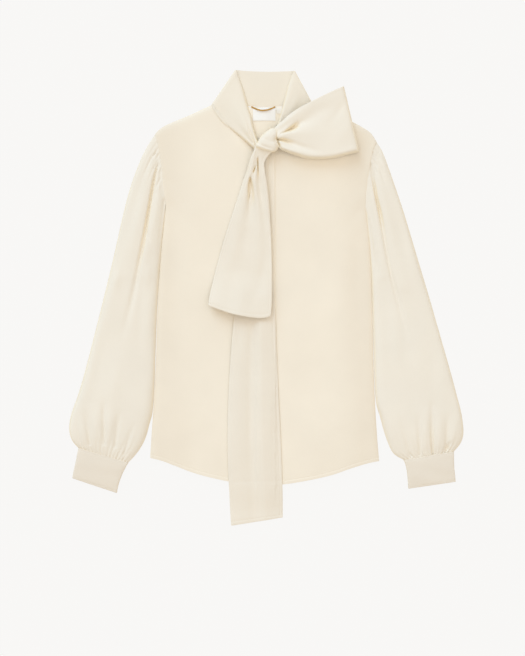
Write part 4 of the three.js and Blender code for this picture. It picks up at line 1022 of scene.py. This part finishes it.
def bow_loop():
    rows = LOOP
    centre = np.stack([(rows["ux"] + rows["lx"]) / 2, (rows["uy"] + rows["ly"]) / 2, rows["edge"]], 1)
    gone = np.concatenate([[0], np.cumsum(np.linalg.norm(np.diff(centre, axis=0), axis=1))])
    s = []
    for i in range(len(gone) - 1):
        tight = "fold" in rows["label"][i] or "fold" in rows["label"][i + 1]
        n = max(2, int(round((gone[i + 1] - gone[i]) / (0.8 if tight else 1.9))))
        s += list(np.linspace(gone[i], gone[i + 1], n + 1)[:-1])
    s = np.array(s + [gone[-1]])
    ux, uy, lx, ly, edge, low, crown, layer = (curve(gone, rows[k], s) for k in ("ux", "uy", "lx", "ly", "edge", "low", "crown", "layer"))
    u = steps(100, 2.0, EDGE, EDGE)[None, :]
    X = ux[:, None] + (lx - ux)[:, None] * u
    Y = uy[:, None] + (ly - uy)[:, None] * u
    width = np.hypot(lx - ux, ly - uy)[:, None]
    near = np.minimum(u, 1 - u) * width
    # the outline swells between its corners
    Z = edge[:, None] + crown[:, None] * smooth(u / 0.62)
    on_top = np.clip(layer, 0, 1)[:, None]
    Z = Z + fold_height(LOOP_FOLDS, X, Y) * on_top * smooth(near / 7 + 0.15)
    # the lower edge curls down to the under layer, the upper one stays up
    curl = np.clip(1 - (1 - u) * width / 6.5, 0, 1) ** 2.2
    Z = Z - (edge - low)[:, None] * curl - on_top * 0.5 * np.exp(-u * width / 1.6)
    Z = Z - on_top * 0.35 * np.exp(-(((near - 5.0) / 1.0) ** 2))
    rests = on_top * smooth((X - 40) / 20)
    Z = np.maximum(Z, rests * (body_height(X, Y) + 1.0))
    P = np.stack([X, Y, Z], 2)
    obj = shell("blouse_bow_loop", drawn_in(P), BAND)
    return piece(obj, "bow_loop", loop_cloth)


# ---- tails ---------------------------------------------------------------
SHORT_TAIL = table("lx ly rx ry lift",
    ("in the knot", -18.2, 279.5, 13.0, 266.0, 20.5),
    ("in the knot", -20.3, 272.0, 9.5, 262.5, 20.5),
    ("knot", -23.0, 263.0, 3.0, 255.5, 19.5),
    ("below knot", -29.5, 247.5, -3.4, 243.5, 17.6),
    ("narrow", -34.5, 230.0, -2.4, 226.0, 16.0),
    ("narrow", -41.5, 211.0, 0.9, 207.0, 14.6),
    ("opening", -51.0, 181.5, 4.3, 178.0, 13.4),
    ("upper", -64.2, 141.0, 7.2, 137.0, 12.4),
    ("middle", -79.6, 91.5, 9.4, 86.0, 12.0),
    ("lower", -94.0, 37.5, 10.2, 28.5, 12.4),
    ("lower", -102.0, 3.0, 9.8, -9.5, 14.4),
    ("end", -104.6, -13.5, 8.0, -32.4, 16.2))
TAIL_END = table("u drop",
    ("left", 0.0, 0.0), ("quarter", 0.22, 5.2), ("middle", 0.45, 8.6), ("right", 0.78, 8.2), ("near", 0.93, 4.4), ("corner", 1.0, 0.0))
TAIL_LIFT = table("u rise",
    ("left corner", 0.0, 3.0), ("left", 0.15, 5.8), ("left", 0.32, 7.8), ("middle", 0.48, 8.6), ("fall", 0.62, 7.6), ("right", 0.80, 5.4), ("corner", 1.0, 3.6))
SHORT_FOLDS = table("x0 y0 x1 y1 x2 y2 half0 half2 r0 r1 r2",
    ("left fold", -21, 264, -27, 236, -38, 200, 3.4, 6.0, 1.4, 2.4, 2.2),
    ("left fold low", -38, 200, -52, 150, -66, 80, 6.0, 14, 2.2, 1.4, 0.1),
    ("small dark", -19.4, 236, -21.4, 231, -23.4, 225.5, 1.2, 1.4, -3.6, -6.5, -2.0),
    ("dark line", -15.4, 251, -15.0, 240, -14.4, 221, 1.2, 1.5, -4.5, -6.5, -2.4),
    ("dark line low", -14.4, 221, -11.5, 195, -10, 165, 1.5, 5.5, -2.4, -1.5, -0.5),
    ("deep recess", -28.9, 216, -28.8, 203, -27.8, 186, 1.7, 4.4, -6.0, -12.0, -8.0),
    ("recess tail", -27.8, 186, -29, 165, -33, 130, 4.4, 7.5, -8.0, -3.8, -1.0),
    ("recess tail low", -33, 130, -40, 90, -44, 40, 7.5, 12, -1.0, -0.9, 0.0),
    ("middle fold", -18, 232, -20.5, 205, -15, 165, 2.6, 5.0, 1.6, 2.8, 2.2),
    ("middle fold low", -15, 165, -13.5, 120, -17, 60, 5.0, 11, 2.2, 1.5, 0.2),
    ("right hollow", -9, 236, -7, 190, -2, 140, 2.6, 6.0, -0.5, -1.4, -0.9),
    ("right hollow low", -2, 140, 0, 90, -6, 20, 6.0, 11, -0.9, -1.0, -0.8),
    ("right edge roll", -5, 240, 0, 195, 5.5, 120, 2.2, 4.5, 0.4, 1.0, 0.6),
    ("lower swell", -74, 80, -84, 40, -92, 0, 12, 15, 0.2, 1.0, 0.6),
    ("lower hollow", -58, 70, -66, 25, -70, -20, 9, 13, -0.2, -1.0, -0.8),
    ("lower swell 2", -38, 50, -42, 10, -44, -34, 10, 14, 0.1, 0.9, 0.9),
    ("diagonal", 2, 78, -9, 38, -26, -10, 9, 12, -0.4, -1.1, -0.7))
LONG_TAIL = table("lx ly rx ry wave",
    ("in the knot", -14.0, 262.0, 4.0, 262.0, 0.2),
    ("knot", -14.5, 250.0, 1.5, 248.0, 0.2),
    ("under the tail", -27.0, 194.0, 3.0, 194.0, 0.3),
    ("under the tail", -42.0, 104.0, 8.5, 104.0, 0.4),
    ("under the tail", -52.5, 14.0, 14.0, 14.0, 0.6),
    ("showing", -58.6, -40.0, 16.3, -40.0, 1.5),
    ("showing", -64.2, -112.0, 19.4, -112.0, 1.5),
    ("showing", -68.2, -184.0, 22.4, -184.0, 1.6),
    ("showing", -69.6, -256.0, 26.0, -256.0, 1.5),
    ("at the hem", -68.2, -318.0, 28.4, -318.0, 1.2),
    ("past the hem", -66.4, -346.0, 29.0, -344.0, 0.9),
    ("on the surface", -65.2, -374.0, 29.4, -371.0, 0.8),
    ("end", -63.0, -410.4, 29.4, -395.4, 0.6))
LONG_PROFILE = table("u rise",
    ("left edge", 0.0, 0.4), ("left", 0.07, 1.9), ("crest", 0.20, 3.0), ("fall", 0.32, 2.2), ("hollow", 0.43, 0.9), ("rise", 0.53, 3.0),
    ("crest", 0.64, 5.6), ("fall", 0.73, 5.0), ("fall", 0.86, 2.6), ("fall", 0.95, 0.9), ("right edge", 1.0, 0.2))
LONG_FOLDS = table("x0 y0 x1 y1 x2 y2 half0 half2 r0 r1 r2",
    ("edge fold", -56, -36, -58, -70, -61, -110, 2.6, 5.0, 1.4, 0.7, 0.0),
    ("hollow beside it", -46, -30, -48, -62, -50, -110, 6.0, 8.0, -2.2, -1.4, -0.2),
    ("low swell", -38, -330, -36, -362, -34, -392, 12, 14, 0.1, 0.6, 0.5),
    ("low hollow", -10, -322, -12, -350, -12, -384, 8, 10, -0.2, -0.6, -0.3),
    ("waist hollow", -30, -170, -26, -214, -30, -258, 7, 8, -0.2, -0.7, -0.2),
    ("waist swell", 6, -150, 8, -200, 6, -246, 7, 7, 0.1, 0.6, 0.1))


def ruled(rows, step, names, start, end):
    centre = np.stack([(rows["lx"] + rows["rx"]) / 2, (rows["ly"] + rows["ry"]) / 2], 1)
    gone = np.concatenate([[0], np.cumsum(np.linalg.norm(np.diff(centre, axis=0), axis=1))])
    s = steps(gone[-1], step, start, end) * gone[-1]
    return s, gone[-1], [curve(gone, rows[k], s) for k in names]


def tail_seams(Z, near_side, near_end, strength=0.32):
    """Seam line a few millimetres inside the edges, and rounded edges."""
    Z = Z - strength * np.exp(-(((near_side - 4.6) / 0.9) ** 2)) - 0.7 * np.exp(-near_side / 1.2)
    return Z - strength * np.exp(-(((near_end - 5.6) / 0.9) ** 2)) - 0.5 * np.exp(-near_end / 1.2)


def short_tail():
    s, length, (lx, ly, rx, ry, lift) = ruled(SHORT_TAIL, 2.2, ("lx", "ly", "rx", "ry", "lift"), (0.8, 1.8), (0.3, 0.8, 1.5, 2.4, 3.4, 4.2, 4.9, 5.6, 6.3, 7.2))
    u = steps(112, 1.9, (0.3, 0.8, 1.5, 2.4, 3.3, 4.0, 4.6, 5.2, 6.0), (0.3, 0.8, 1.5, 2.4, 3.3, 4.0, 4.6, 5.2, 6.0))[None, :]
    X = lx[:, None] + (rx - lx)[:, None] * u
    Y = ly[:, None] + (ry - ly)[:, None] * u
    at_end = smooth(1 - (length - s)[:, None] / 60.0)
    Y = Y - curve(TAIL_END["u"], TAIL_END["drop"], u) * at_end
    width = np.hypot(rx - lx, ry - ly)[:, None]
    near_side = np.minimum(u, 1 - u) * width
    near_end = (length - s)[:, None] + 0 * u
    Z = lift[:, None] + curve(TAIL_LIFT["u"], TAIL_LIFT["rise"], u) * smooth(1 - near_end / 75)
    tilt = smooth(near_end / 60) * smooth((s[:, None] - 20) / 40)
    Z = Z + tilt * (3.4 * smooth((u - 0.5) / 0.5) - 3.4 * smooth((0.3 - u) / 0.3))
    Z = Z + fold_height(SHORT_FOLDS, X, Y) * smooth(near_side / 5 + 0.25)
    Z = Z + undulate(X, Y, ((74.0, 10.0, 0.7, 0.35), (52.0, 60.0, 2.2, 0.2))) * smooth((200 - Y) / 60)
    Z = tail_seams(Z, near_side, near_end)
    P = np.stack([X, Y, Z], 2)
    obj = shell("blouse_short_tail", drawn_in(P), BAND)
    return piece(obj, "short_tail", tail_cloth)


def long_tail():
    s, length, (lx, ly, rx, ry, wave) = ruled(LONG_TAIL, 2.8, ("lx", "ly", "rx", "ry", "wave"), (0.8, 1.8), (0.3, 0.8, 1.5, 2.4, 3.4, 4.2, 4.9, 5.6, 6.3, 7.2))
    u = steps(96, 2.0, (0.3, 0.8, 1.5, 2.4, 3.3, 4.0, 4.6, 5.2, 6.0), (0.3, 0.8, 1.5, 2.4, 3.3, 4.0, 4.6, 5.2, 6.0))[None, :]
    X = lx[:, None] + (rx - lx)[:, None] * u
    Y = ly[:, None] + (ry - ly)[:, None] * u
    width = np.hypot(rx - lx, ry - ly)[:, None]
    near_side = np.minimum(u, 1 - u) * width
    near_end = (length - s)[:, None] + 0 * u
    under = np.maximum(body_height(X, np.maximum(Y, hem_y(X) + 1.0)), placket_height(np.clip(X, -14, 13), np.maximum(Y, hem_y(X) + 1.0)) * np.where((X > -19) & (X < 17), 1.0, 0.0))
    calm = placket_height(np.zeros_like(X), np.maximum(Y, hem_y(X) + 1.0))
    rest = np.maximum(under, calm - 1.0) + 1.5
    fall = smooth((hem_y(X) + 1 - Y) / 54)
    Z = rest * (1 - fall) + 1.3 * fall
    rise = 0.68 * wave[:, None] * curve(LONG_PROFILE["u"], LONG_PROFILE["rise"], u)
    covered = smooth((-16 - Y) / 36)
    Z = Z + (rise + 0.1 * wave[:, None]) * (0.12 + 0.88 * covered)
    Z = Z + fold_height(LONG_FOLDS, X, Y) * smooth(near_side / 5 + 0.3) * covered
    Z = tail_seams(Z, near_side, near_end)
    floor = BAND / 2 + 0.02
    Z = np.maximum(Z, floor)
    P = np.stack([X, Y, Z], 2)
    obj = shell("blouse_long_tail", P, BAND, floor=0.0)
    return piece(obj, "long_tail", tail_cloth)


# ---- knot ----------------------------------------------------------------
KNOT = dict(x=4.0, y=281.0, low=10.0, high=29.0)
KNOT_OUTLINE = table("turn reach",
    ("right", 0, 15.9), ("crease", 22.5, 15.7), ("", 38, 21.0), ("into the loop", 55, 26.0), ("", 73, 26.0), ("upper left", 92, 20.8),
    ("", 119, 17.2), ("", 143, 16.6), ("left", 162, 17.6), ("", 182, 20.0), ("left point", 200, 24.6), ("", 214, 22.4), ("lower edge", 232, 18.4), ("", 261, 17.2),
    ("", 290, 20.2), ("", 307, 21.6), ("right low", 326, 21.2), ("", 342, 19.0), ("right", 360, 15.9))
KNOT_FOLDS = table("x0 y0 x1 y1 x2 y2 half0 half2 r0 r1 r2",
    ("lower ridge", -16, 274.5, -4, 268.5, 10, 264.5, 2.2, 2.6, 0.5, 0.9, 0.7),
    ("line above it", -15, 278.6, -3, 272.6, 12, 268.3, 1.5, 1.9, -0.8, -0.9, -0.3),
    ("middle swell", -11, 284, 2, 277.5, 16, 273.5, 4.4, 4.4, 0.2, 0.6, 0.2),
    ("second line", -8, 289, 4, 283, 17, 280, 1.8, 2.2, -0.2, -0.3, -0.9),
    ("right side", 15, 290, 18, 280, 21, 268, 3.0, 3.0, -1.0, -1.6, -1.2),
    ("upper swell", -5, 294, 6, 290, 16, 293, 4.4, 4.4, 0.2, 0.5, 0.2))


def knot():
    rings, around = 56, 120
    tilt = np.linspace(-math.pi / 2, math.pi / 2, rings + 1)[1:-1][:, None]
    turn = (np.arange(around) * 360.0 / around)[None, :]
    reach = curve(KNOT_OUTLINE["turn"], KNOT_OUTLINE["reach"], turn) * np.cos(tilt) ** 0.5
    X = KNOT["x"] + reach * np.cos(np.radians(turn))
    Y = KNOT["y"] + reach * np.sin(np.radians(turn))
    mid, half = (KNOT["low"] + KNOT["high"]) / 2, (KNOT["high"] - KNOT["low"]) / 2
    Z = mid + half * np.sin(tilt) + 0 * turn
    Z = Z + np.where(tilt > 0, fold_height(KNOT_FOLDS, X, Y) * smooth(tilt / 0.5), 0)
    top = np.array([[KNOT["x"], KNOT["y"], KNOT["high"] + float(fold_height(KNOT_FOLDS, np.array([KNOT["x"]]), np.array([KNOT["y"]]))[0])]])
    low = np.array([[KNOT["x"], KNOT["y"], KNOT["low"]]])
    verts = drawn_in(np.concatenate([low, np.stack([X, Y, Z], 2).reshape(-1, 3), top]))
    m = rings - 1
    idx = 1 + np.arange(m * around).reshape(m, around)
    nxt = np.roll(idx, -1, axis=1)
    faces = [np.stack([idx[:-1].ravel(), nxt[:-1].ravel(), nxt[1:].ravel(), idx[1:].ravel()], 1)]
    end = len(verts) - 1
    pairs = np.arange(0, around, 2)
    a, b, c = idx[0][pairs], idx[0][(pairs + 1) % around], idx[0][(pairs + 2) % around]
    faces.append(np.stack([np.zeros_like(a), c, b, a], 1))
    a, b, c = idx[-1][pairs], idx[-1][(pairs + 1) % around], idx[-1][(pairs + 2) % around]
    faces.append(np.stack([np.full_like(a, end), a, b, c], 1))
    obj = make_mesh("blouse_knot", verts, np.concatenate(faces))
    return piece(obj, "knot", loop_cloth)


# ---- label, size tab, hanger loop ----------------------------------------


def tag(name, node, left, right, low, high, ribbon, thick=0.45):
    w, h = right - left, high - low
    u = steps(w, 1.2, (0.2, 0.5, 0.9, 1.4), (0.2, 0.5, 0.9, 1.4))
    v = steps(h, 1.2, (0.2, 0.5, 0.9, 1.4), (0.2, 0.5, 0.9, 1.4))
    X = left + w * u[None, :] + 0 * v[:, None]
    Y = low + h * v[:, None] + 0 * u[None, :]
    Z = neck_rise(X, Y) + 1.25 + 0.2 * np.sin(X / 9.0 + 1.0) * np.cos(Y / 11.0)
    edge = np.minimum(np.minimum(X - left, right - X), np.minimum(Y - low, high - Y))
    Z = Z - 0.18 * np.exp(-edge / 0.5) - 0.1 * np.exp(-(((edge - 1.4) / 0.4) ** 2))
    P = np.stack([X, Y, Z], 2)
    obj = shell(name, P, thick)
    piece(obj, node, ribbon)
    N = normals_of(P, False)
    j = int(np.argmin(abs(v * h - (h - 1.4))))
    rows = stitch_row(name + "_stitches", (P + N * thick / 2)[j], N[j], sewing, pitch=1.9, length=1.3, dia=0.26)
    return obj, rows


def hanger():
    """A short cord of three strands, laid in a shallow curve, its ends sewn in the neck seam."""
    path = table("x y z",
        ("end", -26.5, 343.6, 1.9), ("", -22.0, 341.2, 2.7), ("", -14.5, 337.8, 3.0), ("low", -6.8, 336.4, 3.0),
        ("", 2.0, 337.4, 3.0), ("", 10.5, 340.6, 2.7), ("end", 15.6, 343.6, 1.9))
    t = np.linspace(0, 1, 7)
    q = np.linspace(0, 1, 150)
    c = np.stack([curve(t, path[k], q) for k in "xyz"], 1)
    c[:, 2] += neck_rise(c[:, 0], c[:, 1])
    d = np.gradient(c, axis=0)
    d /= np.linalg.norm(d, axis=1, keepdims=True)
    side = np.cross(d, [0, 0, 1.0])
    side /= np.linalg.norm(side, axis=1, keepdims=True)
    up = np.cross(side, d)
    gone = np.concatenate([[0], np.cumsum(np.linalg.norm(np.diff(c, axis=0), axis=1))])
    verts, faces = [], []
    around, lay, off, r = 8, 5.6, 0.66, 0.74
    for k in range(3):
        a = 2 * math.pi * (gone / lay + k / 3)
        line = c + side * (off * np.cos(a))[:, None] + up * (off * np.sin(a))[:, None]
        base = len(verts) * around * len(q)
        ring = np.stack([line + side * (r * math.cos(b)) + up * (r * math.sin(b)) for b in 2 * math.pi * np.arange(around) / around], 1)
        verts.append(ring.reshape(-1, 3))
        idx = base + np.arange(len(q) * around).reshape(len(q), around)
        nxt = np.roll(idx, -1, axis=1)
        faces.append(np.stack([idx[:-1].ravel(), nxt[:-1].ravel(), nxt[1:].ravel(), idx[1:].ravel()], 1))
        for row, flip in ((idx[0], True), (idx[-1], False)):
            cap = np.array([[row[0], row[1], row[2], row[3]], [row[0], row[3], row[4], row[7]], [row[4], row[5], row[6], row[7]]])
            faces.append(cap[:, ::-1] if flip else cap)
    obj = make_mesh("hanger_cord", np.concatenate(verts), np.concatenate(faces))
    return piece(obj, "hanger_loop", gold_cord)


# ---- build ---------------------------------------------------------------
back = back_panel()
front_r, hem_r = front_panel("right")
front_l, hem_l = front_panel("left")
placket, placket_rows = placket_piece()
sleeve_r = sleeve("right", SLEEVE_RIGHT, 0.0)
sleeve_l = sleeve("left", SLEEVE_LEFT, 1.3)
cuff_r, cuff_r_rows = cuff("right", CUFF_RIGHT, 0.3)
cuff_l, cuff_l_rows = cuff("left", CUFF_LEFT, 0.8)
collar_band = collar()
loop = bow_loop()
tail_a = short_tail()
tail_b = long_tail()
knot_piece = knot()
label, label_rows = tag("neck_label", "label", -23.8, 16.6, 318.2, 341.0, white_satin)
tab, tab_rows = tag("size_tab_ribbon", "size_tab", 18.6, 28.2, 331.0, 341.4, pale_satin)
cord = hanger()

# ---- floor, light, camera ------------------------------------------------
floor_mesh = bpy.data.meshes.new("floor")
floor_mesh.from_pydata([(-8, -8, -0.0004), (8, -8, -0.0004), (8, 8, -0.0004), (-8, 8, -0.0004)], [], [(0, 1, 2, 3)])
floor = bpy.data.objects.new("floor", floor_mesh)
bpy.context.scene.collection.objects.link(floor)
floor_mat = bpy.data.materials.new("floor_pale")
floor_mat.use_nodes = True
fb = floor_mat.node_tree.nodes["Principled BSDF"]
fb.inputs["Base Color"].default_value = (0.03, 0.03, 0.03, 1.0)
fb.inputs["Roughness"].default_value = 0.9
fb.inputs["Specular IOR Level"].default_value = 0.0
fb.inputs["Emission Color"].default_value = (1.0, 0.991, 0.975, 1.0)
fb.inputs["Emission Strength"].default_value = 0.91
floor.data.materials.append(floor_mat)

world = bpy.data.worlds.new("studio")
world.use_nodes = True
wt = world.node_tree
way_up = wt.nodes.new("ShaderNodeTexCoord")
split = wt.nodes.new("ShaderNodeSeparateXYZ")
dome = wt.nodes.new("ShaderNodeValToRGB")
dome.color_ramp.interpolation = "EASE"
dome.color_ramp.elements[0].position = 0.0
dome.color_ramp.elements[0].color = (0.52, 0.495, 0.455, 1.0)
dome.color_ramp.elements[1].position = 1.0
dome.color_ramp.elements[1].color = (1.0641, 0.9967, 0.9309, 1.0)
wt.links.new(way_up.outputs["Generated"], split.inputs["Vector"])
wt.links.new(split.outputs["Z"], dome.inputs["Fac"])
wt.links.new(dome.outputs["Color"], wt.nodes["Background"].inputs["Color"])
wt.nodes["Background"].inputs["Strength"].default_value = 1.0
bpy.context.scene.world = world


def sun(name, azimuth, elevation, strength, spread, tint=(1.0, 0.992, 0.98)):
    """Even soft light from far off. azimuth is counted from +X towards +Y."""
    data = bpy.data.lights.new(name, "SUN")
    data.energy = strength
    data.angle = math.radians(spread)
    data.color = tint
    obj = bpy.data.objects.new(name, data)
    bpy.context.scene.collection.objects.link(obj)
    a, e = math.radians(azimuth), math.radians(elevation)
    way = Vector((math.cos(a) * math.cos(e), math.sin(a) * math.cos(e), math.sin(e)))
    obj.location = way * 3
    obj.rotation_mode = "QUATERNION"
    obj.rotation_quaternion = way.to_track_quat("Z", "Y")
    return obj


sun("key", 115, 27, 1.367, 38, (0.49, 0.73, 1.0))

view_height = 656 * SCALE / 1000
cam_data = bpy.data.cameras.new("camera")
cam_data.lens = 100.0
cam_data.sensor_width = 36.0
cam = bpy.data.objects.new("camera", cam_data)
bpy.context.scene.collection.objects.link(cam)
away = view_height * cam_data.lens / cam_data.sensor_width
cam.location = ((262.5 - 266.25) * SCALE / 1000, (297.75 - 328.0) * SCALE / 1000, away + 0.004)
cam.rotation_euler = (0.0, 0.0, 0.0)
cam_data.clip_end = 50.0
bpy.context.scene.camera = cam
bpy.context.scene.view_settings.view_transform = "Standard"
bpy.context.scene.view_settings.look = "None"
